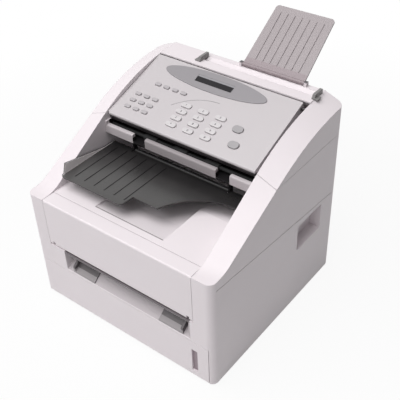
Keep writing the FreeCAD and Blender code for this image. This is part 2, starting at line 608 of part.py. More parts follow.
def manual_guide(side):
    """One paper guide on the recess floor: a sloped plate with an upright fin at its outer edge."""
    slope = math.radians(RECESS_ANGLE)
    lift = SLIDE_CLEARANCE / math.cos(slope)
    tall = lift + GUIDE_THICK / math.cos(slope)
    front = FRONT + SEAM
    rear = FRONT + RECESS_DEPTH - WALL
    low = RECESS_SILL + SEAM * math.tan(slope)
    high = low + (rear - front) * math.tan(slope)
    face = RECESS_CENTRE + side * GUIDE_SPREAD / 2
    plate = across([(front, low + lift), (rear, high + lift), (rear, high + tall), (front, low + tall)],
                   min(face, face - side * GUIDE_WIDTH), max(face, face - side * GUIDE_WIDTH))
    top = min(high + tall + GUIDE_FIN_HEIGHT, RECESS_ROOF - SEAM)
    fin = across([(front, low + lift), (rear, high + lift), (rear, top),
                  (front, low + tall + GUIDE_FIN_HEIGHT)],
                 min(face, face + side * GUIDE_FIN), max(face, face + side * GUIDE_FIN))
    return joined([plate, fin])


def tray_front():
    """The paper tray's front plate with its gauge slot and turned-in edges."""
    low = FOOT_HEIGHT + SEAM
    high = TRAY_TOP
    half = TRAY_FRONT_HALF
    plate = box(-half, half, FRONT, FRONT + WALL, low, high)
    crest = [edge for edge in plate.Edges
             if abs(edge.BoundBox.YMax - FRONT) < 0.01 and edge.BoundBox.XLength > half]
    plate = plate.makeFillet(WALL / 2, crest)
    slot = box(GAUGE_CENTRE - GAUGE_WIDTH / 2, GAUGE_CENTRE + GAUGE_WIDTH / 2, FRONT - 1, FRONT + WALL + 1,
               (low + high - GAUGE_HEIGHT) / 2 - WALL, (low + high + GAUGE_HEIGHT) / 2 - WALL)
    return plate.cut(slot)


def paper_gauge():
    """The dark strip behind the gauge slot."""
    middle = (FOOT_HEIGHT + SEAM + TRAY_TOP) / 2 - WALL
    half = GAUGE_WIDTH / 2 + WALL
    tall = GAUGE_HEIGHT / 2 + WALL
    return box(GAUGE_CENTRE - half, GAUGE_CENTRE + half, FRONT + WALL, FRONT + WALL + TRAY_WALL / 2,
               middle - tall, middle + tall)


def paper_tray():
    """The open tray behind the front plate, with a hinge bore for its lift plate."""
    half = TRAY_BOX_HALF
    front = FRONT + WALL
    rear = front + TRAY_LENGTH
    top = TRAY_FLOOR + TRAY_BOX_HEIGHT
    block = box(-half, half, front, rear, TRAY_FLOOR, top)
    hollow = box(-half + TRAY_WALL, half - TRAY_WALL, front + TRAY_WALL, rear - TRAY_WALL,
                 TRAY_FLOOR + TRAY_WALL, top + 1)
    return block.cut(hollow).cut(lift_axle(RUNNING_CLEARANCE))


def lift_place():
    """Where the lift plate's axle lies in the tray."""
    y = FRONT + WALL + TRAY_WALL + PLATE_LENGTH + 2 * WALL
    z = TRAY_FLOOR + TRAY_WALL + PLATE_THICK + WALL
    return y, z


def lift_axle(clearance):
    """The lift plate's axle, or its bore with a clearance."""
    y, z = lift_place()
    return rod(-TRAY_BOX_HALF, TRAY_BOX_HALF, y, z, HINGE_PIN / 2 + clearance)


def lift_plate():
    """The sprung plate under the paper, hinged at its rear."""
    y, z = lift_place()
    half = TRAY_BOX_HALF - TRAY_WALL - SLIDE_CLEARANCE
    low = TRAY_FLOOR + TRAY_WALL + SLIDE_CLEARANCE
    plate = box(-half, half, FRONT + WALL + TRAY_WALL + WALL, y, low, low + PLATE_THICK)
    curl = rod(-half, half, y, z, z - low)
    return joined([plate, curl, lift_axle(0)])


def output_tray():
    """The print output tray: a finger channel between two side shelves, falling to the rear."""
    low = OUTPUT_FLOOR_LOW
    front = OUTPUT_FRONT
    rear = OUTPUT_REAR
    step = front + LIP_DEPTH / 2
    foot = step + 2 * LIP_DEPTH
    dip = LIP_HEIGHT - FINGER_CHANNEL_DROP
    top = [(front, LIP_HEIGHT), (step, LIP_HEIGHT), (foot, dip), (rear, low)]
    channel = across(top + [(y, z - OUTPUT_THICK) for y, z in reversed(top)],
                     -FINGER_CHANNEL_HALF, FINGER_CHANNEL_HALF)
    ridge = front + 4 * LIP_DEPTH
    shelf = [(front, LIP_HEIGHT), (ridge, LIP_HEIGHT), (rear, low)]
    shelf_under = [(rear, low - OUTPUT_THICK), (ridge, LIP_HEIGHT - OUTPUT_THICK),
                   (front, LIP_HEIGHT - OUTPUT_THICK)]
    side = across(shelf + shelf_under, FINGER_CHANNEL_HALF, RIM_INNER)
    riser = across(shelf + [(rear, low - OUTPUT_THICK), (foot, dip - OUTPUT_THICK),
                            (step, LIP_HEIGHT - OUTPUT_THICK),
                            (front, LIP_HEIGHT - OUTPUT_THICK)],
                   FINGER_CHANNEL_HALF, FINGER_CHANNEL_HALF + OUTPUT_THICK)
    return joined([channel, side, riser, mirrored(side), mirrored(riser)])


def scanner_frame():
    """The bridge that carries the scanner: bottom plate, exit bar, ends, rear wall and tray ears."""
    plate = box(-RIM_INNER, RIM_INNER, SCANNER_FRONT, SCANNER_REAR, SCANNER_BOTTOM, SCANNER_BOTTOM + WALL)
    bar = box(-RIM_INNER, RIM_INNER, SCANNER_FRONT, SCANNER_FRONT + BAR_DEPTH, SCANNER_BOTTOM, BAR_TOP)
    crest = [edge for edge in bar.Edges
             if abs(edge.BoundBox.YMax - SCANNER_FRONT) < 0.01 and abs(edge.BoundBox.ZMin - BAR_TOP) < 0.01]
    bar = bar.makeFillet(WALL, crest)
    notches = [box(x - BAR_NOTCH_HALF, x + BAR_NOTCH_HALF, SCANNER_FRONT - 1, SCANNER_FRONT + BAR_DEPTH,
                   SCANNER_BOTTOM + WALL, BAR_TOP + 1) for x in (BAR_NOTCH_LEFT, BAR_NOTCH_RIGHT)]
    end = box(RIM_INNER - WALL, RIM_INNER, SCANNER_FRONT, SCANNER_REAR, SCANNER_BOTTOM, SIDE_SEAM_HEIGHT)
    rear = box(-RIM_INNER, RIM_INNER, SCANNER_REAR - WALL, SCANNER_REAR, SCANNER_BOTTOM, SIDE_SEAM_HEIGHT)
    seat = box(-RIM_INNER, RIM_INNER, sensor_front(), sensor_front() + SENSOR_DEPTH, SCANNER_BOTTOM,
               SCANNER_BOTTOM + 2 * WALL)
    ear = box(EXIT_EAR_X, EXIT_EAR_X + WALL, EXIT_AXIS_Y - EXIT_BARREL, EXIT_AXIS_Y + EXIT_BARREL,
              EXIT_AXIS_Z - EXIT_BARREL, SCANNER_BOTTOM)
    pin_bore = rod(-RIM_INNER, RIM_INNER, EXIT_AXIS_Y, EXIT_AXIS_Z, EXIT_PIN + RUNNING_CLEARANCE)
    body = joined([plate, bar, end, mirrored(end), rear, seat, ear,
                   mirrored(ear)]).cut(Part.makeCompound(notches))
    clear = rod(-RIM_INNER + WALL, RIM_INNER - WALL, FEED_ROLLER_Y, FEED_ROLLER_Z, FEED_ROLLER_RADIUS + SEAM)
    body = body.cut(pin_bore).cut(clear)
    for y, z in ((FEED_ROLLER_Y, FEED_ROLLER_Z), (EXIT_ROLLER_Y, EXIT_ROLLER_Z)):
        body = body.cut(rod(-RIM_INNER, RIM_INNER, y, z, SHAFT_RADIUS + RUNNING_CLEARANCE))
    return body


def sensor_front():
    """The front face of the scan sensor, midway along the scanner frame."""
    return (SCANNER_FRONT + SCANNER_REAR - SENSOR_DEPTH) / 2


def scan_sensor():
    """The contact image sensor bar on its seat."""
    low = SCANNER_BOTTOM + 2 * WALL
    return box(-DOCUMENT_HALF, DOCUMENT_HALF, sensor_front(), sensor_front() + SENSOR_DEPTH, low,
               low + SENSOR_HEIGHT)


def roller_shaft(y, z, radius, length, half, spots):
    """A shaft across the frame with rubber rollers at the given spots."""
    shapes = [rod(-half, half, y, z, SHAFT_RADIUS)]
    shapes += [rod(x - length / 2, x + length / 2, y, z, radius) for x in spots]
    return joined(shapes)


def document_exit_tray():
    """The smoke sheet that scanned pages slide onto: a tongue, a lobe, a curved step, ribs and a fence."""
    low = EXIT_TRAY_TOP - EXIT_TRAY_THICK
    root = EXIT_AXIS_Y
    tongue = root - EXIT_TONGUE_REACH
    lobe = root - EXIT_LOBE_REACH
    shelf = root - EXIT_SHELF_REACH
    half = EXIT_TRAY_HALF
    corners = [Vector(EXIT_LOBE_RIGHT, lobe, low), Vector(half, shelf, low), Vector(half, root, low),
               Vector(-half, root, low), Vector(-half, tongue, low), Vector(EXIT_TONGUE_RIGHT, tongue, low),
               Vector(EXIT_TONGUE_RIGHT + EXIT_TRAY_THICK, lobe, low)]
    sweep = Part.BSplineCurve()
    depth = shelf - lobe
    start = corners[0]
    waist = Vector(start.x + half / 8, lobe + depth / 2, low)
    bend = Vector(start.x + half / 3, shelf - depth / 8, low)
    sweep.interpolate([start, waist, bend, corners[1]])
    edges = [sweep.toShape()]
    edges += [Part.makeLine(a, b) for a, b in zip(corners[1:], corners[2:] + corners[:1])]
    sheet = Part.Face(Part.Wire(edges)).extrude(Vector(0, 0, EXIT_TRAY_THICK))
    corner = [edge for edge in sheet.Edges if edge.BoundBox.ZLength > EXIT_TRAY_THICK / 2
              and abs(edge.BoundBox.YMin - tongue) < 0.01]
    sheet = sheet.makeFillet(CORNER_RADIUS / 2, corner)
    ribs = []
    count = int((half + EXIT_TONGUE_RIGHT) / EXIT_RIB_PITCH)
    for index in range(1, count + 1):
        x = -half + index * EXIT_RIB_PITCH
        ribs.append(box(x - SEAM, x + SEAM, tongue + CORNER_RADIUS, root - 3 * EXIT_BARREL, EXIT_TRAY_TOP,
                        EXIT_TRAY_TOP + 2 * SEAM))
    fence = across([(root - 3 * EXIT_BARREL, low), (tongue + CORNER_RADIUS / 2, low),
                    (tongue + CORNER_RADIUS, low + EXIT_FENCE_HEIGHT)], -half, -half + EXIT_TRAY_THICK)
    reach = EXIT_EAR_X - SEAM
    barrel = rod(-reach, reach, EXIT_AXIS_Y, EXIT_AXIS_Z, EXIT_BARREL)
    pin = rod(-EXIT_EAR_X - WALL, EXIT_EAR_X + WALL, EXIT_AXIS_Y, EXIT_AXIS_Z, EXIT_PIN)
    gap = box(EXIT_EAR_X - SEAM, EXIT_EAR_X + WALL + SEAM, root - 2 * EXIT_BARREL, root + 2 * EXIT_BARREL,
              low - 1, EXIT_TRAY_TOP + 1)
    return joined([sheet.cut(gap).cut(mirrored(gap)), fence, barrel, pin] + ribs)


def document_guide(side):
    """One document guide on the deck: a foot with an upright fin beside the hopper slot."""
    face = HOPPER_X + side * DOCUMENT_HALF
    low = RIM_TOP + SLIDE_CLEARANCE
    front = HOPPER_FRONT - DOCUMENT_FOOT
    foot = box(min(face, face + side * DOCUMENT_FOOT), max(face, face + side * DOCUMENT_FOOT), front,
               HOPPER_FRONT, low, low + GUIDE_THICK)
    fin = across([(front, low), (HOPPER_REAR - SEAM, low), (HOPPER_REAR - SEAM, low + DOCUMENT_FIN_HEIGHT),
                  (front + DOCUMENT_FIN_HEIGHT / 2, low + DOCUMENT_FIN_HEIGHT)],
                 min(face, face + side * DOCUMENT_FIN), max(face, face + side * DOCUMENT_FIN))
    return joined([foot, fin])


def document_support():
    """The leaning support behind the hopper: a tapered ribbed plate on a hinge barrel."""
    back = SUPPORT_THICK / 2
    outline = [Vector(-SUPPORT_HALF, -back, 0), Vector(SUPPORT_HALF, -back, 0),
               Vector(SUPPORT_TOP_HALF, -back, SUPPORT_LENGTH),
 Vector(-SUPPORT_TOP_HALF, -back, SUPPORT_LENGTH)]
    plate = Part.Face(Part.makePolygon(outline + outline[:1])).extrude(Vector(0, SUPPORT_THICK, 0))
    tops = [edge for edge in plate.Edges
            if edge.BoundBox.YLength > back and edge.BoundBox.ZMin > SUPPORT_LENGTH - 1]
    plate = plate.makeFillet(CORNER_RADIUS / 2, tops)
    pitch = 2 * SUPPORT_TOP_HALF / (SUPPORT_RIB_COUNT + 1)
    ribs = []
    for index in range(SUPPORT_RIB_COUNT):
        x = -SUPPORT_TOP_HALF + (index + 1) * pitch
        ribs.append(box(x - SEAM, x + SEAM, -back - 2 * SEAM, -back, 4 * SUPPORT_BARREL,
                        SUPPORT_LENGTH - CORNER_RADIUS))
    barrel = rod(-SUPPORT_HALF, SUPPORT_HALF, 0, 0, SUPPORT_BARREL)
    reach = SUPPORT_HALF + SEAM + SUPPORT_EAR
    pin = rod(-reach, reach, 0, 0, SUPPORT_PIN)
    body = joined([plate, barrel, pin] + ribs)
    place = FreeCAD.Placement(Vector(SUPPORT_X, SUPPORT_AXIS_Y, SUPPORT_AXIS_Z),
                              FreeCAD.Rotation(Vector(1, 0, 0), -SUPPORT_LEAN))
    return body.transformed(place.toMatrix())


def rear_cover():
    """The rear cover: door opening, vents, socket windows, switch window and screw bosses."""
    top = SIDE_SEAM_HEIGHT
    skin = box(-RIM_INNER, RIM_INNER, REAR - WALL, REAR, PAN_TOP, top)
    cuts = [box(-DOOR_HALF - SEAM, DOOR_HALF + SEAM, REAR - WALL - 1, REAR + 1, DOOR_FOOT, DOOR_TOP + SEAM)]
    middle = (DOOR_TOP + top) / 2
    for index in range(VENT_COUNT):
        x = (index - (VENT_COUNT - 1) / 2) * VENT_PITCH
        cuts.append(box(x - VENT_WIDTH / 2, x + VENT_WIDTH / 2, REAR - WALL - 1, REAR + 1,
                        middle - VENT_LENGTH / 2, middle + VENT_LENGTH / 2))
    cuts.append(box(INLET_X - INLET_WIDTH / 2, INLET_X + INLET_WIDTH / 2, REAR - WALL - 1, REAR + 1,
                    INLET_HEIGHT - INLET_TALL / 2, INLET_HEIGHT + INLET_TALL / 2))
    cuts.append(box(INLET_X - SWITCH_WIDTH / 2 - SEAM, INLET_X + SWITCH_WIDTH / 2 + SEAM, REAR - WALL - 1,
                    REAR + 1,
                    SWITCH_HEIGHT - SWITCH_TALL / 2 - SEAM, SWITCH_HEIGHT + SWITCH_TALL / 2 + SEAM))
    for z in jack_heights():
        cuts.append(box(JACK_X - JACK_SIZE / 2, JACK_X + JACK_SIZE / 2, REAR - WALL - 1, REAR + 1,
                        z - JACK_SIZE / 2, z + JACK_SIZE / 2))
    ear_x = DOOR_HALF - COVER_EAR_INSET
    ears = []
    for x in (-ear_x - COVER_EAR, ear_x):
        ears.append(box(x, x + COVER_EAR, DOOR_AXIS_Y - HINGE_BARREL, REAR - WALL,
                        DOOR_FOOT - 2 * HINGE_BARREL,
                        DOOR_AXIS_Z + HINGE_BARREL))
    swing = rod(-DOOR_HALF, DOOR_HALF, DOOR_AXIS_Y, DOOR_AXIS_Z, HINGE_BARREL + SEAM)
    bore = rod(-DOOR_HALF, DOOR_HALF, DOOR_AXIS_Y, DOOR_AXIS_Z, HINGE_PIN + RUNNING_CLEARANCE)
    seats = [Part.makeCylinder(2 * SCREW_SHANK, SCREW_LENGTH, Vector(x, REAR - WALL, z), Vector(0, -1, 0))
             for x, z in screw_places()]
    body = joined([skin.cut(Part.makeCompound(cuts)).cut(swing)] + ears + seats).cut(bore)
    return body.cut(screws(RUNNING_CLEARANCE))


def jack_heights():
    """The heights of the two telephone sockets."""
    return [JACK_HEIGHT - JACK_PITCH / 2, JACK_HEIGHT + JACK_PITCH / 2]


def screw_places():
    """The four corners where the rear cover is screwed on."""
    x = RIM_INNER - 4 * SCREW_HEAD
    return [(side * x, z) for side in (-1, 1) for z in (PAN_TOP + 3 * SCREW_HEAD,
                                                        SIDE_SEAM_HEIGHT - 3 * SCREW_HEAD)]


def screws(clearance):
    """The rear cover's screws, or the space that they fill."""
    group = []
    for x, z in screw_places():
        head = Part.makeCylinder(SCREW_HEAD + clearance, WALL / 2, Vector(x, REAR, z), Vector(0, -1, 0))
        shank = Part.makeCylinder(SCREW_SHANK + clearance, SCREW_LENGTH, Vector(x, REAR, z),
                                  Vector(0, -1, 0))
        group.append(head.fuse(shank).removeSplitter())
    return Part.makeCompound(group)


def rear_door():
    """The jam door in the rear cover, hinged at its foot."""
    skin = box(-DOOR_HALF, DOOR_HALF, REAR - WALL, REAR, DOOR_AXIS_Z, DOOR_TOP)
    barrel = rod(-DOOR_HALF, DOOR_HALF, DOOR_AXIS_Y, DOOR_AXIS_Z, HINGE_BARREL)
    ear_x = DOOR_HALF - COVER_EAR_INSET
    notch = box(ear_x - SEAM, ear_x + COVER_EAR + SEAM, DOOR_AXIS_Y - 2 * HINGE_BARREL, REAR - WALL,
                DOOR_AXIS_Z - 2 * HINGE_BARREL, DOOR_AXIS_Z + 2 * HINGE_BARREL)
    notch = notch.fuse(rod(ear_x - SEAM, ear_x + COVER_EAR + SEAM, DOOR_AXIS_Y, DOOR_AXIS_Z,
                           HINGE_BARREL + SEAM))
    pin = rod(ear_x - SEAM, ear_x + COVER_EAR + SEAM, DOOR_AXIS_Y, DOOR_AXIS_Z, HINGE_PIN)
    stiffeners = [box(x - WALL / 2, x + WALL / 2, REAR - 4 * WALL, REAR - WALL,
                      DOOR_AXIS_Z + 2 * HINGE_BARREL,
                      DOOR_TOP - 2 * WALL) for x in (-DOOR_HALF / 2, DOOR_HALF / 2)]
    return joined([joined([skin, barrel]).cut(notch).cut(mirrored(notch)), pin, mirrored(pin)] + stiffeners)


def socket(x, z, width, tall, deep):
    """A socket body behind its window in the rear cover, open to the rear."""
    shell = box(x - width / 2 - WALL, x + width / 2 + WALL, REAR - WALL - deep - WALL, REAR - WALL,
                z - tall / 2 - WALL, z + tall / 2 + WALL)
    hollow = box(x - width / 2, x + width / 2, REAR - WALL - deep, REAR, z - tall / 2, z + tall / 2)
    return shell.cut(hollow)


def power_inlet():
    """The mains inlet with its three pins."""
    body = socket(INLET_X, INLET_HEIGHT, INLET_WIDTH, INLET_TALL, INLET_DEEP)
    pins = []
    for step, rise in ((-1, -1), (0, 1), (1, -1)):
        x = INLET_X + step * INLET_WIDTH / 4
        z = INLET_HEIGHT + rise * INLET_TALL / 8
        pins.append(box(x - INLET_PIN_WIDTH / 2, x + INLET_PIN_WIDTH / 2, REAR - WALL - INLET_DEEP,
                        REAR - 2 * WALL,
                        z - INLET_PIN_HEIGHT / 2, z + INLET_PIN_HEIGHT / 2))
    return joined([body] + pins)


def phone_jacks():
    """The two telephone sockets, one above the other."""
    return joined([socket(JACK_X, z, JACK_SIZE, JACK_SIZE, JACK_DEEP) for z in jack_heights()]
                  + [box(JACK_X - JACK_SIZE / 2, JACK_X + JACK_SIZE / 2, REAR - 3 * WALL, REAR - WALL,
                         JACK_HEIGHT - JACK_PITCH / 2 + JACK_SIZE / 2 + WALL / 2,
                         JACK_HEIGHT + JACK_PITCH / 2 - JACK_SIZE / 2 - WALL / 2)])


def switch_frame():
    """The bracket behind the power switch, with the bore for its pivot."""
    half = SWITCH_WIDTH / 2 + SEAM
    tall = SWITCH_TALL / 2 + SEAM
    frame = box(INLET_X - half - WALL, INLET_X + half + WALL, REAR - 5 * WALL, REAR - WALL,
                SWITCH_HEIGHT - tall - WALL, SWITCH_HEIGHT + tall + WALL)
    hollow = box(INLET_X - half, INLET_X + half, REAR - 6 * WALL, REAR, SWITCH_HEIGHT - tall,
                 SWITCH_HEIGHT + tall)
    bore = rod(INLET_X - half - WALL, INLET_X + half + WALL, REAR - 2 * WALL, SWITCH_HEIGHT,
               HINGE_PIN / 2 + RUNNING_CLEARANCE)
    return frame.cut(hollow).cut(bore)


def power_switch():
    """The rocker of the power switch on its pivot."""
    half = SWITCH_WIDTH / 2
    tall = SWITCH_TALL / 2
    pivot = REAR - 2 * WALL
    rocker = across([(pivot - WALL / 2, SWITCH_HEIGHT - tall + WALL),
                     (pivot - WALL / 2, SWITCH_HEIGHT + tall - WALL),
                     (REAR - WALL / 2, SWITCH_HEIGHT + tall - WALL / 2), (REAR - WALL, SWITCH_HEIGHT),
                     (REAR, SWITCH_HEIGHT - tall + WALL / 2)], INLET_X - half, INLET_X + half)
    pin = rod(INLET_X - half - WALL, INLET_X + half + WALL, pivot, SWITCH_HEIGHT, HINGE_PIN / 2)
    return joined([rocker, pin])


def inner_frame():
    """The engine frame: side plates with bearing bores, tie bars, board posts and cartridge ledges."""
    front = FRONT + RECESS_DEPTH + WALL
    rear = REAR - 4 * HINGE_BARREL
    tower = PRINT_EXIT_Y - 2 * EXIT_RADIUS
    outline = [(front, FRAME_FOOT), (rear, FRAME_FOOT), (rear, EXIT_HEIGHT + 2 * EXIT_RADIUS),
               (tower, EXIT_HEIGHT + 2 * EXIT_RADIUS), (tower, FRAME_TOP), (front, FRAME_TOP)]
    plate = across(outline, FRAME_INNER, FRAME_INNER + FRAME_PLATE)
    ties = [box(-FRAME_INNER, FRAME_INNER, y, y + WALL, FRAME_FOOT, FRAME_FOOT + 2 * WALL)
            for y in (front, cartridge_front(), cartridge_front() + CARTRIDGE_LENGTH, rear - WALL)]
    shelf = box(-FRAME_INNER, FRAME_INNER, laser_front(), laser_front() + LASER_LENGTH,
                FRAME_TOP - LASER_HEIGHT - 2 * WALL, FRAME_TOP - LASER_HEIGHT - WALL)
    posts = []
    for y in (cartridge_front(), laser_front()):
        for z in (FRAME_FOOT + 4 * WALL, FRAME_TOP - 4 * WALL):
            posts.append(rod(-FRAME_INNER - FRAME_PLATE - BOARD_STANDOFF, -FRAME_INNER - FRAME_PLATE, y,
                             z, WALL))
    body = joined([plate, mirrored(plate), shelf] + ties + posts)
    reach = FRAME_INNER + FRAME_PLATE
    for y, z in engine_axles():
        body = body.cut(rod(-reach, reach, y, z, ENGINE_SHAFT + RUNNING_CLEARANCE))
    return body


def cartridge_front():
    """The front of the drum cartridge."""
    return FRONT + CARTRIDGE_BACK


def laser_front():
    """The front of the laser unit, behind the cartridge."""
    return cartridge_front() + CARTRIDGE_LENGTH + 4 * WALL


def engine_axles():
    """Where the pick-up, heat, pressure and print exit rollers turn."""
    return [(PICKUP_Y, PICKUP_Z), (FUSER_Y, FUSER_HEIGHT),
            (FUSER_Y, FUSER_HEIGHT - 2 * FUSER_ROLLER_RADIUS - SEAM), (PRINT_EXIT_Y, EXIT_HEIGHT)]


def engine_roller(index, radius, half_length):
    """One roller of the print engine on its shaft between the frame plates."""
    y, z = engine_axles()[index]
    reach = FRAME_INNER + FRAME_PLATE
    return joined([rod(-reach, reach, y, z, ENGINE_SHAFT), rod(-half_length, half_length, y, z, radius)])


def drum_cartridge():
    """The drum and toner cartridge on the frame's ties: a rounded hopper with a sloped front and a grip."""
    front = cartridge_front()
    rear = front + CARTRIDGE_LENGTH + WALL
    low = FRAME_FOOT + 2 * WALL
    high = low + CARTRIDGE_HEIGHT
    half = FRAME_INNER - 2 * WALL
    body = across([(front, low), (rear, low), (rear, low + CARTRIDGE_HEIGHT / 2),
                   (rear - CARTRIDGE_HEIGHT / 3, high),
                   (front + CARTRIDGE_HEIGHT / 3, high), (front, low + CARTRIDGE_HEIGHT / 2)], -half, half)
    grip = box(-half / 4, half / 4, front, front + 4 * WALL, low + CARTRIDGE_HEIGHT / 4,
               low + CARTRIDGE_HEIGHT / 3)
    return body.cut(grip)


def laser_unit():
    """The closed laser scanner box on its shelf."""
    low = FRAME_TOP - LASER_HEIGHT - WALL
    half = FRAME_INNER - 4 * WALL
    return box(-half, half, laser_front(), laser_front() + LASER_LENGTH, low, low + LASER_HEIGHT)


def main_board():
    """The main circuit board on posts outside the left frame plate."""
    outer = -FRAME_INNER - FRAME_PLATE - BOARD_STANDOFF
    return box(outer - BOARD_THICK, outer, cartridge_front() - 4 * WALL, laser_front() + 4 * WALL,
               FRAME_FOOT + 2 * WALL, FRAME_TOP - 2 * WALL)


def power_supply():
    """The boxed power supply on the pan beside the tray."""
    left = RAIL_INNER + WALL
    return box(left, left + SUPPLY_WIDTH, -SUPPLY_LENGTH / 2, SUPPLY_LENGTH / 2, PAN_TOP,
               PAN_TOP + SUPPLY_HEIGHT)


def build():
    """All pieces by name, with the origin moved to the middle of the footprint of the whole machine."""
    shell = side_shell()
    cover = side_cover(shell)
    nip = (-ROLLER_SPREAD, 0, ROLLER_SPREAD)
    document_half = RIM_INNER - SEAM
    pieces = {
        "base_pan": base_pan(),
        "rubber_feet": rubber_feet(),
        "right_side_cover": cover,
        "left_side_cover": mirrored(cover),
        "upper_housing": upper_housing(shell),
        "front_panel": front_panel(),
        "front_cover": front_cover(),
        "manual_guide_left": manual_guide(-1),
        "manual_guide_right": manual_guide(1),
        "tray_front": tray_front(),
        "paper_gauge": paper_gauge(),
        "paper_tray": paper_tray(),
        "lift_plate": lift_plate(),
        "output_tray": output_tray(),
        "scanner_frame": scanner_frame(),
        "scan_sensor": scan_sensor(),
        "document_feed_roller": roller_shaft(FEED_ROLLER_Y, FEED_ROLLER_Z, FEED_ROLLER_RADIUS, ROLLER_LENGTH,
                                             document_half, nip),
        "document_exit_roller": roller_shaft(EXIT_ROLLER_Y, EXIT_ROLLER_Z, EXIT_ROLLER_RADIUS, ROLLER_LENGTH,
                                             document_half, nip),
        "document_exit_tray": document_exit_tray(),
        "document_guide_left": document_guide(-1),
        "document_guide_right": document_guide(1),
        "document_support": document_support(),
        "control_panel": control_panel(),
        "display_bezel": display_bezel(),
        "display_window": display_layer(0, WINDOW_THICK),
        "display_module": display_layer(-MODULE_THICK, MODULE_THICK),
        "key_board": key_board(),
        "one_touch_keys": key_strip(touch_places()),
        "function_keys": key_strip(function_places()),
        "rear_cover": rear_cover(),
        "rear_door": rear_door(),
        "casing_screws": screws(0),
        "power_inlet": power_inlet(),
        "phone_jacks": phone_jacks(),
        "switch_frame": switch_frame(),
        "power_switch": power_switch(),
        "inner_frame": inner_frame(),
        "pickup_roller": engine_roller(0, PICKUP_RADIUS, ROLLER_SPREAD),
        "heat_roller": engine_roller(1, FUSER_ROLLER_RADIUS, DOCUMENT_HALF),
        "pressure_roller": engine_roller(2, FUSER_ROLLER_RADIUS, DOCUMENT_HALF),
        "print_exit_roller": engine_roller(3, EXIT_RADIUS, DOCUMENT_HALF),
        "drum_cartridge": drum_cartridge(),
        "laser_unit": laser_unit(),
        "main_board": main_board(),
        "power_supply": power_supply(),
    }
    for name, x, up in dial_places():
        pieces[name] = key_cap(DIAL_KEY_LENGTH, DIAL_KEY_WIDTH, x, up).transformed(PANEL_FRAME.toMatrix())
    for name, x, up in (("stop_key", STOP_X, STOP_UP), ("start_key", START_X, START_UP)):
        pieces[name] = key_cap(COMMAND_KEY_LENGTH, COMMAND_KEY_WIDTH, x,
                               up).transformed(PANEL_FRAME.toMatrix())
    reach = pieces["document_support"].optimalBoundingBox(False).YMax
    shift = Vector(0, -(FRONT + reach) / 2, 0)
    return {name: shape.translated(shift) for name, shape in pieces.items()}


os.makedirs("parts", exist_ok=True)
for node, solid in build().items():
    solid.exportStep("parts/" + node + ".step")
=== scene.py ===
"""The looks of a desktop laser fax machine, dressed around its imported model."""
import json
import logging
import math
from dataclasses import dataclass, field, replace
from enum import Enum
from typing import Callable, Optional

import bpy
from mathutils import Matrix, Vector


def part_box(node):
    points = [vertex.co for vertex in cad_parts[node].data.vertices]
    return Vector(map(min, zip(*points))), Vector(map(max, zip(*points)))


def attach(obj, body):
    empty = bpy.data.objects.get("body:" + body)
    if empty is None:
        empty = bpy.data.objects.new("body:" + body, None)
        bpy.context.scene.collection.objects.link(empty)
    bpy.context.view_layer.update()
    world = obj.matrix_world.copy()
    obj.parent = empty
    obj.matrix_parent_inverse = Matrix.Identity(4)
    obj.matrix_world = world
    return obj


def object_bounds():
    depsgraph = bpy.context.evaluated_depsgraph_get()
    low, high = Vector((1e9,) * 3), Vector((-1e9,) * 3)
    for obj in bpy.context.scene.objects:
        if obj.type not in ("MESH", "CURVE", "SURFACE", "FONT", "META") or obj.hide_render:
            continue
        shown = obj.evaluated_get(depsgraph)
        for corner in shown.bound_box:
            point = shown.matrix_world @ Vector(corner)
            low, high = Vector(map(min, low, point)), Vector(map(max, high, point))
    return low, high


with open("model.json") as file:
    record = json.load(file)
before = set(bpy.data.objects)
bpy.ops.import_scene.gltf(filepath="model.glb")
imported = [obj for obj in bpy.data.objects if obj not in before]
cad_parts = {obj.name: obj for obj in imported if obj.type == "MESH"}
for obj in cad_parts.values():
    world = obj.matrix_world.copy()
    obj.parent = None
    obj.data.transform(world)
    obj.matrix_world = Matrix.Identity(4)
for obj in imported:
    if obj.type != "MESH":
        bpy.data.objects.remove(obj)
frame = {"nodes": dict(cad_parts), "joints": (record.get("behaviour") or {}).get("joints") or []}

CAD_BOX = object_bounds()
Colour = tuple[float, float, float]

log = logging.getLogger("fax_machine")


class Body(Enum):
    """The bodies that new pieces ride on, apart from the keys' own."""

    CHASSIS = "chassis"
    PANEL = "panel_body"


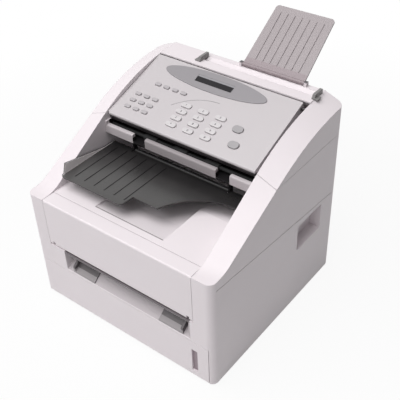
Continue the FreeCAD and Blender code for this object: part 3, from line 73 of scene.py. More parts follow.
class NodeGroups:
    """Shader effects that several finishes share, each built once as a node group."""

    GRAIN_DETAIL = 2.0
    MOTTLE_DETAIL = 4.0
    MOTTLE_ROUGHNESS = 0.6
    DUST_DETAIL = 5.0
    DUST_STEEPEST = 0.4
    _made: dict[str, bpy.types.NodeTree] = {}

    @classmethod
    def moulded_grain(cls) -> bpy.types.NodeTree:
        """The fine spark-eroded grain and faint mottling of moulded plastic.

        Returns:
            The group, with Grain Scale and Mottle Scale inputs and Tone, Gloss and Height outputs.
        """
        if "moulded_grain" in cls._made:
            return cls._made["moulded_grain"]
        tree = bpy.data.node_groups.new("moulded_grain", "ShaderNodeTree")
        tree.interface.new_socket("Grain Scale", in_out="INPUT", socket_type="NodeSocketFloat")
        tree.interface.new_socket("Mottle Scale", in_out="INPUT", socket_type="NodeSocketFloat")
        for name in ("Tone", "Gloss", "Height"):
            tree.interface.new_socket(name, in_out="OUTPUT", socket_type="NodeSocketFloat")
        entry = tree.nodes.new("NodeGroupInput")
        leave = tree.nodes.new("NodeGroupOutput")
        place = tree.nodes.new("ShaderNodeTexCoord")
        grain = tree.nodes.new("ShaderNodeTexNoise")
        grain.inputs["Detail"].default_value = cls.GRAIN_DETAIL
        mottle = tree.nodes.new("ShaderNodeTexNoise")
        mottle.inputs["Detail"].default_value = cls.MOTTLE_DETAIL
        mottle.inputs["Roughness"].default_value = cls.MOTTLE_ROUGHNESS
        for noise, scale in ((grain, "Grain Scale"), (mottle, "Mottle Scale")):
            tree.links.new(place.outputs["Object"], noise.inputs["Vector"])
            tree.links.new(entry.outputs[scale], noise.inputs["Scale"])
        tree.links.new(mottle.outputs["Fac"], leave.inputs["Tone"])
        tree.links.new(grain.outputs["Fac"], leave.inputs["Height"])
        gloss = tree.nodes.new("ShaderNodeMath")
        gloss.operation = "MULTIPLY"
        tree.links.new(grain.outputs["Fac"], gloss.inputs[0])
        tree.links.new(mottle.outputs["Fac"], gloss.inputs[1])
        tree.links.new(gloss.outputs["Value"], leave.inputs["Gloss"])
        cls._made["moulded_grain"] = tree
        return tree

    @classmethod
    def settled_dust(cls) -> bpy.types.NodeTree:
        """A thin film of dust that lies on faces that look up.

        Returns:
            The group, with a Patch Scale input and a Mask output.
        """
        if "settled_dust" in cls._made:
            return cls._made["settled_dust"]
        tree = bpy.data.node_groups.new("settled_dust", "ShaderNodeTree")
        tree.interface.new_socket("Patch Scale", in_out="INPUT", socket_type="NodeSocketFloat")
        tree.interface.new_socket("Mask", in_out="OUTPUT", socket_type="NodeSocketFloat")
        entry = tree.nodes.new("NodeGroupInput")
        leave = tree.nodes.new("NodeGroupOutput")
        place = tree.nodes.new("ShaderNodeTexCoord")
        shape = tree.nodes.new("ShaderNodeNewGeometry")
        parts = tree.nodes.new("ShaderNodeSeparateXYZ")
        patches = tree.nodes.new("ShaderNodeTexNoise")
        patches.inputs["Detail"].default_value = cls.DUST_DETAIL
        facing = tree.nodes.new("ShaderNodeMapRange")
        facing.inputs["From Min"].default_value = cls.DUST_STEEPEST
        facing.inputs["From Max"].default_value = 1.0
        product = tree.nodes.new("ShaderNodeMath")
        product.operation = "MULTIPLY"
        tree.links.new(shape.outputs["Normal"], parts.inputs["Vector"])
        tree.links.new(parts.outputs["Z"], facing.inputs["Value"])
        tree.links.new(place.outputs["Object"], patches.inputs["Vector"])
        tree.links.new(entry.outputs["Patch Scale"], patches.inputs["Scale"])
        tree.links.new(patches.outputs["Fac"], product.inputs[0])
        tree.links.new(facing.outputs["Result"], product.inputs[1])
        tree.links.new(product.outputs["Value"], leave.inputs["Mask"])
        cls._made["settled_dust"] = tree
        return tree

    @classmethod
    def inside_box(cls) -> bpy.types.NodeTree:
        """Where a surface lies between two corners of a box.

        Returns:
            The group, with Low and High inputs and a Mask output.
        """
        if "inside_box" in cls._made:
            return cls._made["inside_box"]
        tree = bpy.data.node_groups.new("inside_box", "ShaderNodeTree")
        for name in ("Low", "High"):
            tree.interface.new_socket(name, in_out="INPUT", socket_type="NodeSocketVector")
        tree.interface.new_socket("Mask", in_out="OUTPUT", socket_type="NodeSocketFloat")
        entry = tree.nodes.new("NodeGroupInput")
        leave = tree.nodes.new("NodeGroupOutput")
        place = tree.nodes.new("ShaderNodeTexCoord")
        above = tree.nodes.new("ShaderNodeVectorMath")
        above.operation = "SUBTRACT"
        below = tree.nodes.new("ShaderNodeVectorMath")
        below.operation = "SUBTRACT"
        nearest = tree.nodes.new("ShaderNodeVectorMath")
        nearest.operation = "MINIMUM"
        parts = tree.nodes.new("ShaderNodeSeparateXYZ")
        pair = tree.nodes.new("ShaderNodeMath")
        pair.operation = "MINIMUM"
        least = tree.nodes.new("ShaderNodeMath")
        least.operation = "MINIMUM"
        inside = tree.nodes.new("ShaderNodeMath")
        inside.operation = "GREATER_THAN"
        inside.inputs[1].default_value = 0.0
        tree.links.new(place.outputs["Object"], above.inputs[0])
        tree.links.new(entry.outputs["Low"], above.inputs[1])
        tree.links.new(entry.outputs["High"], below.inputs[0])
        tree.links.new(place.outputs["Object"], below.inputs[1])
        tree.links.new(above.outputs["Vector"], nearest.inputs[0])
        tree.links.new(below.outputs["Vector"], nearest.inputs[1])
        tree.links.new(nearest.outputs["Vector"], parts.inputs["Vector"])
        tree.links.new(parts.outputs["X"], pair.inputs[0])
        tree.links.new(parts.outputs["Y"], pair.inputs[1])
        tree.links.new(pair.outputs["Value"], least.inputs[0])
        tree.links.new(parts.outputs["Z"], least.inputs[1])
        tree.links.new(least.outputs["Value"], inside.inputs[0])
        tree.links.new(inside.outputs["Value"], leave.inputs["Mask"])
        cls._made["inside_box"] = tree
        return tree

    @classmethod
    def fade_along(cls) -> bpy.types.NodeTree:
        """A soft change of tint from front to rear.

        Returns:
            The group, with Start and End inputs along y and a Mask output.
        """
        if "fade_along" in cls._made:
            return cls._made["fade_along"]
        tree = bpy.data.node_groups.new("fade_along", "ShaderNodeTree")
        for name in ("Start", "End"):
            tree.interface.new_socket(name, in_out="INPUT", socket_type="NodeSocketFloat")
        tree.interface.new_socket("Mask", in_out="OUTPUT", socket_type="NodeSocketFloat")
        entry = tree.nodes.new("NodeGroupInput")
        leave = tree.nodes.new("NodeGroupOutput")
        place = tree.nodes.new("ShaderNodeTexCoord")
        parts = tree.nodes.new("ShaderNodeSeparateXYZ")
        spread = tree.nodes.new("ShaderNodeMapRange")
        spread.interpolation_type = "SMOOTHSTEP"
        tree.links.new(place.outputs["Object"], parts.inputs["Vector"])
        tree.links.new(parts.outputs["Y"], spread.inputs["Value"])
        tree.links.new(entry.outputs["Start"], spread.inputs["From Min"])
        tree.links.new(entry.outputs["End"], spread.inputs["From Max"])
        tree.links.new(spread.outputs["Result"], leave.inputs["Mask"])
        cls._made["fade_along"] = tree
        return tree


@dataclass(frozen=True)
class Zone:
    """A box inside which a finish has another colour, for a part's own colour and also for painted shade and
    painted light.

    Attributes:
        low: Lowest corner in metres.
        high: Highest corner in metres.
        colour: Linear colour inside the box.
    """

    low: Colour
    high: Colour
    colour: Colour


@dataclass(frozen=True)
class Fade:
    """A change of colour from front to rear; the exit tray uses it for painted shade towards its root.

    Attributes:
        start: Where it starts along y, in metres.
        end: Where it ends along y, in metres.
        colour: Linear colour at the end.
    """

    start: float
    end: float
    colour: Colour


@dataclass(frozen=True)
class Finish:
    """One surface finish of the machine.

    Attributes:
        name: The finish in plain words, also the material's name.
        slot: The record's material slot that it stands for.
        colour: Linear base colour.
        shade: Linear colour that the mottling moves towards.
        roughness: Mean roughness.
        roughness_swing: How far the grain moves the roughness.
        grain_scale: Grain cells per metre.
        grain_height: Bump strength of the grain.
        edge_radius: Radius of the softened edges in metres, or 0 for a sheet with plain edges.
        metallic: Share of metal.
        coat: Clear coat weight.
        specular: How strongly the surface mirrors, 0.5 for plain plastic.
        dust: How strongly settled dust shows.
        dust_colour: Linear colour of the dust.
        dust_scale: Dust patches per metre.
        mottle_scale: Mottled patches per metre.
        grain_depth: Depth of the grain in metres.
        coat_roughness: Roughness of the clear coat.
        edge_samples: Rays that feel for a softened edge.
        zones: Boxes with another colour.
        fade: A change of tint from front to rear.
    """

    name: str
    slot: str
    colour: Colour
    shade: Colour
    roughness: float = 0.5
    roughness_swing: float = 0.1
    grain_scale: float = 1400.0
    grain_height: float = 0.06
    edge_radius: float = 0.0009
    metallic: float = 0.0
    coat: float = 0.0
    specular: float = 0.5
    dust: float = 0.04
    dust_colour: Colour = (0.42, 0.40, 0.38)
    dust_scale: float = 30.0
    mottle_scale: float = 14.0
    grain_depth: float = 0.0002
    coat_roughness: float = 0.12
    edge_samples: int = 6
    zones: tuple[Zone, ...] = ()
    fade: Optional[Fade] = None

    def tint(self, tree: bpy.types.NodeTree, source: bpy.types.NodeSocket) -> bpy.types.NodeSocket:
        """Adds the fade and the zones to a base colour.

        Args:
            tree: The material's node tree.
            source: The colour so far.

        Returns:
            The colour with the fade and the zones.
        """
        masks = []
        if self.fade is not None:
            spread = tree.nodes.new("ShaderNodeGroup")
            spread.node_tree = NodeGroups.fade_along()
            spread.inputs["Start"].default_value = self.fade.start
            spread.inputs["End"].default_value = self.fade.end
            masks.append((spread, self.fade.colour))
        for zone in self.zones:
            box = tree.nodes.new("ShaderNodeGroup")
            box.node_tree = NodeGroups.inside_box()
            box.inputs["Low"].default_value = zone.low
            box.inputs["High"].default_value = zone.high
            masks.append((box, zone.colour))
        for mask, colour in masks:
            mix = tree.nodes.new("ShaderNodeMix")
            mix.data_type = "RGBA"
            mix.inputs["B"].default_value = (*colour, 1.0)
            tree.links.new(mask.outputs["Mask"], mix.inputs["Factor"])
            tree.links.new(source, mix.inputs["A"])
            source = mix.outputs["Result"]
        return source

    def material(self) -> bpy.types.Material:
        """Builds the finish once and returns its material.

        Returns:
            The material, shared by every piece of this finish.
        """
        known = bpy.data.materials.get(self.name)
        if known is not None:
            return known
        material = bpy.data.materials.new(self.name)
        material.use_nodes = True
        nodes = material.node_tree.nodes
        links = material.node_tree.links
        shader = nodes["Principled BSDF"]
        shader.inputs["Metallic"].default_value = self.metallic
        shader.inputs["Coat Weight"].default_value = self.coat
        shader.inputs["Coat Roughness"].default_value = self.coat_roughness
        shader.inputs["Specular IOR Level"].default_value = self.specular
        grain = nodes.new("ShaderNodeGroup")
        grain.node_tree = NodeGroups.moulded_grain()
        grain.inputs["Grain Scale"].default_value = self.grain_scale
        grain.inputs["Mottle Scale"].default_value = self.mottle_scale
        dust = nodes.new("ShaderNodeGroup")
        dust.node_tree = NodeGroups.settled_dust()
        dust.inputs["Patch Scale"].default_value = self.dust_scale
        tone = nodes.new("ShaderNodeMix")
        tone.data_type = "RGBA"
        tone.inputs["A"].default_value = (*self.colour, 1.0)
        tone.inputs["B"].default_value = (*self.shade, 1.0)
        links.new(grain.outputs["Tone"], tone.inputs["Factor"])
        film = nodes.new("ShaderNodeMix")
        film.data_type = "RGBA"
        film.inputs["B"].default_value = (*self.dust_colour, 1.0)
        amount = nodes.new("ShaderNodeMath")
        amount.operation = "MULTIPLY"
        amount.inputs[1].default_value = self.dust
        links.new(dust.outputs["Mask"], amount.inputs[0])
        links.new(amount.outputs["Value"], film.inputs["Factor"])
        links.new(self.tint(material.node_tree, tone.outputs["Result"]), film.inputs["A"])
        links.new(film.outputs["Result"], shader.inputs["Base Color"])
        gloss = nodes.new("ShaderNodeMapRange")
        gloss.inputs["To Min"].default_value = self.roughness - self.roughness_swing
        gloss.inputs["To Max"].default_value = self.roughness + self.roughness_swing
        links.new(grain.outputs["Gloss"], gloss.inputs["Value"])
        links.new(gloss.outputs["Result"], shader.inputs["Roughness"])
        bump = nodes.new("ShaderNodeBump")
        bump.inputs["Strength"].default_value = self.grain_height
        bump.inputs["Distance"].default_value = self.grain_depth
        links.new(grain.outputs["Height"], bump.inputs["Height"])
        if self.edge_radius > 0.0:
            soft_edge = nodes.new("ShaderNodeBevel")
            soft_edge.samples = self.edge_samples
            soft_edge.inputs["Radius"].default_value = self.edge_radius
            links.new(soft_edge.outputs["Normal"], bump.inputs["Normal"])
        links.new(bump.outputs["Normal"], shader.inputs["Normal"])
        return material


class Finishes:
    """Every finish on the machine."""

    CASING = Finish("casing_plastic", "casing", (0.78, 0.722, 0.748), (0.75, 0.692, 0.718), 0.5)
    PANEL = Finish("panel_plastic", "panel_grey", (0.52, 0.487, 0.50), (0.495, 0.462, 0.477), 0.42)
    BEZEL = Finish("bezel_plastic", "bezel_grey", (0.27, 0.255, 0.27), (0.25, 0.235, 0.25), 0.38)
    KEY = Finish("key_plastic", "key_white", (0.58, 0.555, 0.565), (0.555, 0.53, 0.54), 0.4)
    SMALL_KEY = Finish("small_key_plastic", "bezel_grey", (0.42, 0.395, 0.41), (0.40, 0.375, 0.39), 0.4)
    COMMAND_KEY = Finish("command_key_plastic", "bezel_grey", (0.33, 0.315, 0.325), (0.31, 0.295, 0.305), 0.4)
    GLASS = Finish("display_glass", "display_glass", (0.009, 0.008, 0.011), (0.007, 0.006, 0.009), 0.12, 0.03,
                   coat=0.05, specular=0.2)
    SMOKE = Finish("smoked_sheet", "smoke", (0.066, 0.064, 0.064), (0.058, 0.056, 0.056), 0.34,
                   grain_height=0.03, edge_radius=0.0, coat=0.1, specular=0.3)
    SUPPORT = Finish("support_plastic", "support_grey", (0.315, 0.275, 0.285), (0.295, 0.26, 0.27), 0.5,
                     grain_height=0.02, edge_radius=0.0)
    # Dark, partly the manual guides' own colour and partly painted shade from the feed slot above them.
    GUIDE = Finish("guide_plastic", "guide_dark", (0.10, 0.085, 0.092), (0.085, 0.075, 0.08), 0.45)
    GAUGE = Finish("gauge_plastic", "guide_dark", (0.30, 0.235, 0.265), (0.28, 0.22, 0.25), 0.45)
    HOPPER_GUIDE = Finish("hopper_guide_plastic", "casing", (0.20, 0.19, 0.19), (0.18, 0.17, 0.17), 0.45)
    TRAY = Finish("tray_plastic", "tray_grey", (0.36, 0.35, 0.355), (0.33, 0.32, 0.325), 0.5)
    DARK_BASE = Finish("base_plastic", "dark_base", (0.035, 0.035, 0.037), (0.03, 0.03, 0.032), 0.5)
    RUBBER = Finish("roller_rubber", "rubber", (0.02, 0.02, 0.021), (0.017, 0.017, 0.018), 0.75,
                    specular=0.2, dust=0.02)
    STEEL = Finish("zinced_steel", "steel", (0.55, 0.55, 0.56), (0.48, 0.48, 0.49), 0.34, metallic=1.0)
    ENGINE = Finish("engine_plastic", "engine_black", (0.022, 0.022, 0.024), (0.018, 0.018, 0.02), 0.45,
                    specular=0.2)
    BOARD = Finish("board_lacquer", "board_green", (0.012, 0.09, 0.035), (0.01, 0.07, 0.03), 0.35)
    INK = Finish("key_ink", "bezel_grey", (0.12, 0.11, 0.125), (0.10, 0.095, 0.105), 0.55, dust=0.0)


class Bench:
    """Helpers for modelling by hand: clean selections, edit mode and finished pieces."""

    @staticmethod
    def clear() -> None:
        """Leaves edit mode and deselects everything."""
        if bpy.context.object is not None and bpy.context.object.mode != "OBJECT":
            bpy.ops.object.mode_set(mode="OBJECT")
        bpy.ops.object.select_all(action="DESELECT")

    @staticmethod
    def take(piece: bpy.types.Object) -> None:
        """Makes one piece the only selected and the active one.

        Args:
            piece: The piece to work on.
        """
        Bench.clear()
        piece.select_set(True)
        bpy.context.view_layer.objects.active = piece

    @staticmethod
    def block(name: str, low: Vector, high: Vector) -> bpy.types.Object:
        """A block between two corners, as a start for shaping.

        Args:
            name: The piece's name.
            low: Lowest corner in metres.
            high: Highest corner in metres.

        Returns:
            The new mesh object, with its place in its mesh.
        """
        Bench.clear()
        bpy.ops.mesh.primitive_cube_add(size=1.0, location=(low + high) / 2)
        piece = bpy.context.object
        piece.name = name
        piece.scale = high - low
        bpy.ops.object.transform_apply(location=True, rotation=True, scale=True)
        return piece

    @staticmethod
    def soften(piece: bpy.types.Object, width: float, segments: int = 3) -> None:
        """Bevels all edges of a piece in edit mode.

        Args:
            piece: The piece to soften.
            width: Bevel width in metres.
            segments: Number of bevel segments.
        """
        Bench.take(piece)
        bpy.ops.object.mode_set(mode="EDIT")
        bpy.ops.mesh.select_all(action="SELECT")
        bpy.ops.mesh.bevel(offset=width, segments=segments, affect="EDGES")
        bpy.ops.object.mode_set(mode="OBJECT")

    @staticmethod
    def shift(piece: bpy.types.Object, test: Callable[[Vector], bool], move: Vector) -> None:
        """Moves some corners of a piece in edit mode.

        Args:
            piece: The piece to shape.
            test: Says for a corner whether it moves.
            move: How far it moves, in metres.
        """
        Bench.take(piece)
        bpy.ops.object.mode_set(mode="EDIT")
        bpy.ops.mesh.select_mode(type="VERT")
        bpy.ops.mesh.select_all(action="DESELECT")
        bpy.ops.object.mode_set(mode="OBJECT")
        for vertex in piece.data.vertices:
            vertex.select = test(vertex.co)
        bpy.ops.object.mode_set(mode="EDIT")
        bpy.ops.transform.translate(value=move)
        bpy.ops.object.mode_set(mode="OBJECT")

    @staticmethod
    def place(piece: bpy.types.Object, matrix: Matrix) -> None:
        """Moves a piece by a matrix and applies it to the mesh.

        Args:
            piece: The piece to move.
            matrix: Where its own axes go.
        """
        Bench.take(piece)
        piece.matrix_world = matrix
        bpy.ops.object.transform_apply(location=True, rotation=True, scale=True)

    @staticmethod
    def dress(piece: bpy.types.Object, finish: Finish, body: str) -> None:
        """Gives a new piece its finish and the body it rides on.

        Args:
            piece: The new piece.
            finish: Its finish.
            body: The body's name.
        """
        piece.data.materials.clear()
        piece.data.materials.append(finish.material())
        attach(piece, body)
        log.info("%s rides on %s", piece.name, body)


def coat_nodes(finish: Finish, names: list[str]) -> None:
    """Gives a finish to CAD nodes as they are.

    Args:
        finish: The finish.
        names: Node names.
    """
    for name in names:
        node = frame["nodes"][name]
        if not node.material_slots:
            node.data.materials.append(None)
        for slot in node.material_slots:
            slot.material = finish.material()
        log.info("%s wears %s", name, finish.name)


def joint_named(name: str) -> dict:
    """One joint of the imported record.

    Args:
        name: The joint's name.

    Returns:
        The joint's entry.
    """
    return next(joint for joint in frame["joints"] if joint["name"] == name)


@dataclass
class Casing:
    """The pale housing, its covers and what stands under it."""

    pale: list[str] = field(default_factory=lambda: [
        "left_side_cover", "right_side_cover", "front_cover", "tray_front", "rear_cover", "rear_door"])
    recess_left: float = -0.118
    recess_right: float = 0.143
    recess_top: float = 0.1212
    recess_slot: float = 0.1178
    # Painted shade: the inner faces of the manual-feed recess are coloured darker than the casing.
    recess_floor_colour: Colour = (0.50, 0.455, 0.475)
    # Painted shade: a dark line along the recess's top, on its roof and on the front strip above it, stands in
    # for the feed slot's shadow.
    slot_colour: Colour = (0.13, 0.11, 0.12)
    channel_half: float = 0.069
    channel_step: float = 0.0125
    # Painted shade: a thin dark line on the output tray along the finger channel's step stands in for a shadow
    # gap.
    channel_line: float = 0.0018
    channel_colour: Colour = (0.22, 0.195, 0.205)
    ear_width: float = 0.0052
    ear_height: float = 0.02
    skin: float = 0.0006
    ear_colour: Colour = (0.07, 0.065, 0.07)

    def dress(self) -> None:
        """Finishes the housing's nodes, with the support's dark ears, a painted shade line along the channel's
        step and painted shade in the front recess.
        """
        coat_nodes(Finishes.CASING, self.pale)
        low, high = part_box("document_support")
        ears = tuple(Zone((x, low.y, low.z), (x + self.ear_width, high.y, low.z + self.ear_height),
                          self.ear_colour)
                     for x in (low.x, high.x - self.ear_width))
        coat_nodes(replace(Finishes.CASING, name="upper_housing_plastic", zones=ears), ["upper_housing"])
        low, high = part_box("output_tray")
        step = low.y + self.channel_step
        # Painted shade line along the channel's step.
        line = Zone((-self.channel_half, step - self.channel_line / 2, low.z),
                    (self.channel_half, step + self.channel_line / 2, high.z + self.skin),
                    self.channel_colour)
        coat_nodes(replace(Finishes.CASING, name="output_tray_plastic", zones=(line,)), ["output_tray"])
        low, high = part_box("front_panel")
        # Painted shade on the recess's inner faces.
        floor = Zone((self.recess_left, low.y + self.skin, low.z), (self.recess_right, high.y, self.recess_top),
                     self.recess_floor_colour)
        # Painted shade at the recess's roof and on the strip above it.
        slot = Zone((self.recess_left, low.y + self.skin, self.recess_slot),
                    (self.recess_right, high.y, self.recess_top), self.slot_colour)
        brow_shade = Zone((self.recess_left, low.y - self.skin, self.recess_top),
                    (self.recess_right, high.y, high.z + self.skin), self.slot_colour)
        recessed = replace(Finishes.CASING, name="front_panel_plastic", zones=(floor, slot, brow_shade))
        coat_nodes(recessed, ["front_panel"])
        coat_nodes(Finishes.DARK_BASE, ["base_pan", "switch_frame", "power_inlet", "phone_jacks", "power_switch"])
        coat_nodes(Finishes.RUBBER, ["rubber_feet"])
        coat_nodes(Finishes.STEEL, ["casing_screws"])


@dataclass
class PrintEngine:
    """The parts that feed paper and print."""

    guide_share: float = 0.24
    guide_skin: Vector = field(default_factory=lambda: Vector((0.0006, 0.0006, 0.0006)))
    guide_front: Colour = (0.30, 0.275, 0.285)

    def dress(self) -> None:
        """Finishes the engine's nodes, the paper tray, and the manual guides, whose dark is partly painted shade
        from the slot above, with paler fronts at their foot.
        """
        coat_nodes(Finishes.RUBBER, ["pickup_roller", "pressure_roller", "print_exit_roller",
                                     "document_feed_roller", "document_exit_roller"])
        coat_nodes(Finishes.STEEL, ["lift_plate", "inner_frame", "power_supply", "heat_roller"])
        coat_nodes(Finishes.ENGINE, ["drum_cartridge", "laser_unit", "scan_sensor", "display_module"])
        coat_nodes(Finishes.BOARD, ["main_board", "key_board"])
        coat_nodes(Finishes.TRAY, ["paper_tray"])
        for side in ("left", "right"):
            guide = "manual_guide_" + side
            low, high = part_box(guide)
            top = low.z + (high.z - low.z) * self.guide_share
            # The guides' foot keeps a paler grey; the dark above stands partly for the slot's shade.
            front = Zone(tuple(low - self.guide_skin), (high.x, high.y, top), self.guide_front)
            coat_nodes(replace(Finishes.GUIDE, name=guide + "_plastic", zones=(front,)), [guide])
        coat_nodes(Finishes.GAUGE, ["paper_gauge"])


@dataclass
class ControlPanel:
    """The sloped panel with its display and keys."""

    legend_height: float = 0.0052
    legend_lift: float = 0.00012
    legend_depth: float = 0.00025
    key_proud: float = 0.0024
    flat_within: float = 0.0001
    lip_show: float = 0.005
    lip_depth: float = 0.0045
    # Painted shade: the near-black of the shadow gaps under the panel's front edge and beside its right hinge.
    lip_colour: Colour = (0.014, 0.011, 0.013)
    pin_reach: float = 0.003
    pin_inset: float = 0.0047
    # Painted reflection: a paler band across the top of the display glass.
    border_share: float = 0.8
    border_skin: Vector = field(default_factory=lambda: Vector((0.001, 0.001, 0.001)))
    border_colour: Colour = (0.30, 0.29, 0.31)
    skirt_gap: float = 0.0008
    skirt_thick: float = 0.0026
    skirt_round: float = 0.0005
    arc_radius: float = 0.0957
    arc_width: float = 0.0014
    arc_rise: float = 0.0003
    arc_sweep: float = 50.7
    arc_across: float = 0.014
    arc_up: float = -0.055
    arc_segments: int = 192
    arc_sides: int = 8
    arc_smooth: float = 40.0

    def __post_init__(self) -> None:
        """Reads the panel's slope from the way its keys press."""
        self.normal = Vector(joint_named("dial_key_5_press")["axis"]).normalized()
        self.across = Vector((1.0, 0.0, 0.0))
        self.upward = self.normal.cross(self.across)

    def top_face(self, node: str) -> tuple[Vector, Vector]:
        """Two opposite corners of a node's top face, along the panel's own axes.

        Args:
            node: The node's name.

        Returns:
            The corner with the least and the corner with the most across, up the slope and along the normal.
        """
        corners = [vertex.co for vertex in frame["nodes"][node].data.vertices]
        high = max(corner.dot(self.normal) for corner in corners)
        top = [corner for corner in corners if corner.dot(self.normal) > high - self.flat_within]
        ups = [corner.dot(self.upward) for corner in top]
        wide = [corner.x for corner in top]
        return Vector((min(wide), min(ups), high)), Vector((max(wide), max(ups), high))

    def top_centre(self, node: str) -> Vector:
        """The middle of a node's top face on the panel.

        Args:
            node: The node's name.

        Returns:
            The point in metres.
        """
        least, most = self.top_face(node)
        return self.matrix_at(Vector()).to_3x3() @ ((least + most) / 2)

    def matrix_at(self, point: Vector) -> Matrix:
        """A place on the panel as a matrix.

        Args:
            point: Where the piece's own origin goes.

        Returns:
            The matrix, with the piece's x across the panel and its y up the slope.
        """
        turn = Matrix((self.across, self.upward, self.normal)).transposed()
        return Matrix.Translation(point) @ turn.to_4x4()

    def legend(self, node: str, word: str) -> None:
        """A printed figure on top of one key.

        Args:
            node: The key's node.
            word: The figure.
        """
        Bench.clear()
        bpy.ops.object.text_add(location=(0.0, 0.0, 0.0))
        figure = bpy.context.object
        figure.data.body = word
        figure.data.size = self.legend_height
        figure.data.align_x = "CENTER"
        figure.data.align_y = "CENTER"
        figure.data.extrude = self.legend_depth / 2
        bpy.ops.object.convert(target="MESH")
        figure = bpy.context.object
        figure.name = node + "_figure"
        Bench.place(figure, self.matrix_at(self.top_centre(node) + self.normal * self.legend_lift))
        Bench.dress(figure, Finishes.INK, node + "_body")

    def keypad_arc(self) -> None:
        """A thin raised line that curves over the dial keys."""
        Bench.clear()
        bpy.ops.mesh.primitive_torus_add(major_radius=self.arc_radius, minor_radius=self.arc_width / 2,
                                         major_segments=self.arc_segments, minor_segments=self.arc_sides)
        arc = bpy.context.object
        arc.name = "keypad_arc"
        end = math.radians(90.0 + self.arc_sweep)
        bpy.ops.object.mode_set(mode="EDIT")
        for away in ((1.0, 0.0, 0.0), (-math.sin(end), math.cos(end), 0.0)):
            bpy.ops.mesh.select_all(action="SELECT")
            bpy.ops.mesh.bisect(plane_co=(0.0, 0.0, 0.0), plane_no=away, clear_outer=True, use_fill=True)
        bpy.ops.mesh.select_all(action="SELECT")
        bpy.ops.transform.resize(value=(1.0, 1.0, 2 * self.arc_rise / self.arc_width),
                                 center_override=(0.0, 0.0, 0.0))
        bpy.ops.object.mode_set(mode="OBJECT")
        bpy.ops.object.shade_smooth_by_angle(angle=math.radians(self.arc_smooth))
        middle = self.top_centre("dial_key_5") - self.normal * self.key_proud
        Bench.place(arc, self.matrix_at(middle + self.across * self.arc_across + self.upward * self.arc_up))
        Bench.dress(arc, Finishes.COMMAND_KEY, Body.PANEL.value)

    def left_skirt(self) -> None:
        """A narrow skirt that fills most of the panel's left gap against the rim."""
        least, most = self.top_face("control_panel")
        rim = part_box("scanner_frame")[0].x + self.skirt_gap
        skirt = Bench.block("panel_left_skirt", Vector((rim, least.y, least.z - self.skirt_thick)),
                            Vector((least.x, most.y, least.z)))
        Bench.soften(skirt, self.skirt_round)
        Bench.place(skirt, self.matrix_at(Vector()))
        Bench.dress(skirt, Finishes.PANEL, Body.PANEL.value)

    def dress(self) -> None:
        """Finishes the panel, display and keys with painted shade at the panel's front edge and right hinge and a
        painted reflection atop the display, and prints the dial figures.
        """
        least, most = self.top_face("control_panel")
        edge = self.matrix_at(Vector()).to_3x3() @ least
        low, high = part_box("control_panel")
        # Painted shade on the lower front of the panel, for the shadow gap beneath it.
        lip_shade = Zone((low.x, low.y - self.lip_depth, low.z),
                   (high.x, edge.y + self.lip_depth, edge.z - self.lip_show), self.lip_colour)
        axis = Vector(joint_named("control_panel_hinge")["pos_m"])
        # Painted shade in the right-hand gap at the hinge.
        pin_shade = Zone((most.x - self.pin_inset, axis.y - self.pin_reach, axis.z - self.pin_reach),
                   (high.x, axis.y + self.pin_reach, axis.z + self.pin_reach), self.lip_colour)
        plate = replace(Finishes.PANEL, name="control_panel_plastic", zones=(lip_shade, pin_shade))
        coat_nodes(plate, ["control_panel"])
        self.left_skirt()
        coat_nodes(Finishes.BEZEL, ["display_bezel"])
        low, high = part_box("display_window")
        # Painted reflection along the display's top.
        reflection = Zone((low.x, low.y, low.z + (high.z - low.z) * self.border_share),
                      tuple(high + self.border_skin), self.border_colour)
        coat_nodes(replace(Finishes.GLASS, name="glass_with_painted_reflection", zones=(reflection,)), ["display_window"])
        coat_nodes(Finishes.SMALL_KEY, ["one_touch_keys", "function_keys"])
        coat_nodes(Finishes.COMMAND_KEY, ["stop_key", "start_key"])
        words = {"star": "*", "hash": "#"}
        for digit in [str(number) for number in range(10)] + list(words):
            node = "dial_key_" + digit
            coat_nodes(Finishes.KEY, [node])
            self.legend(node, words.get(digit, digit))
        self.keypad_arc()


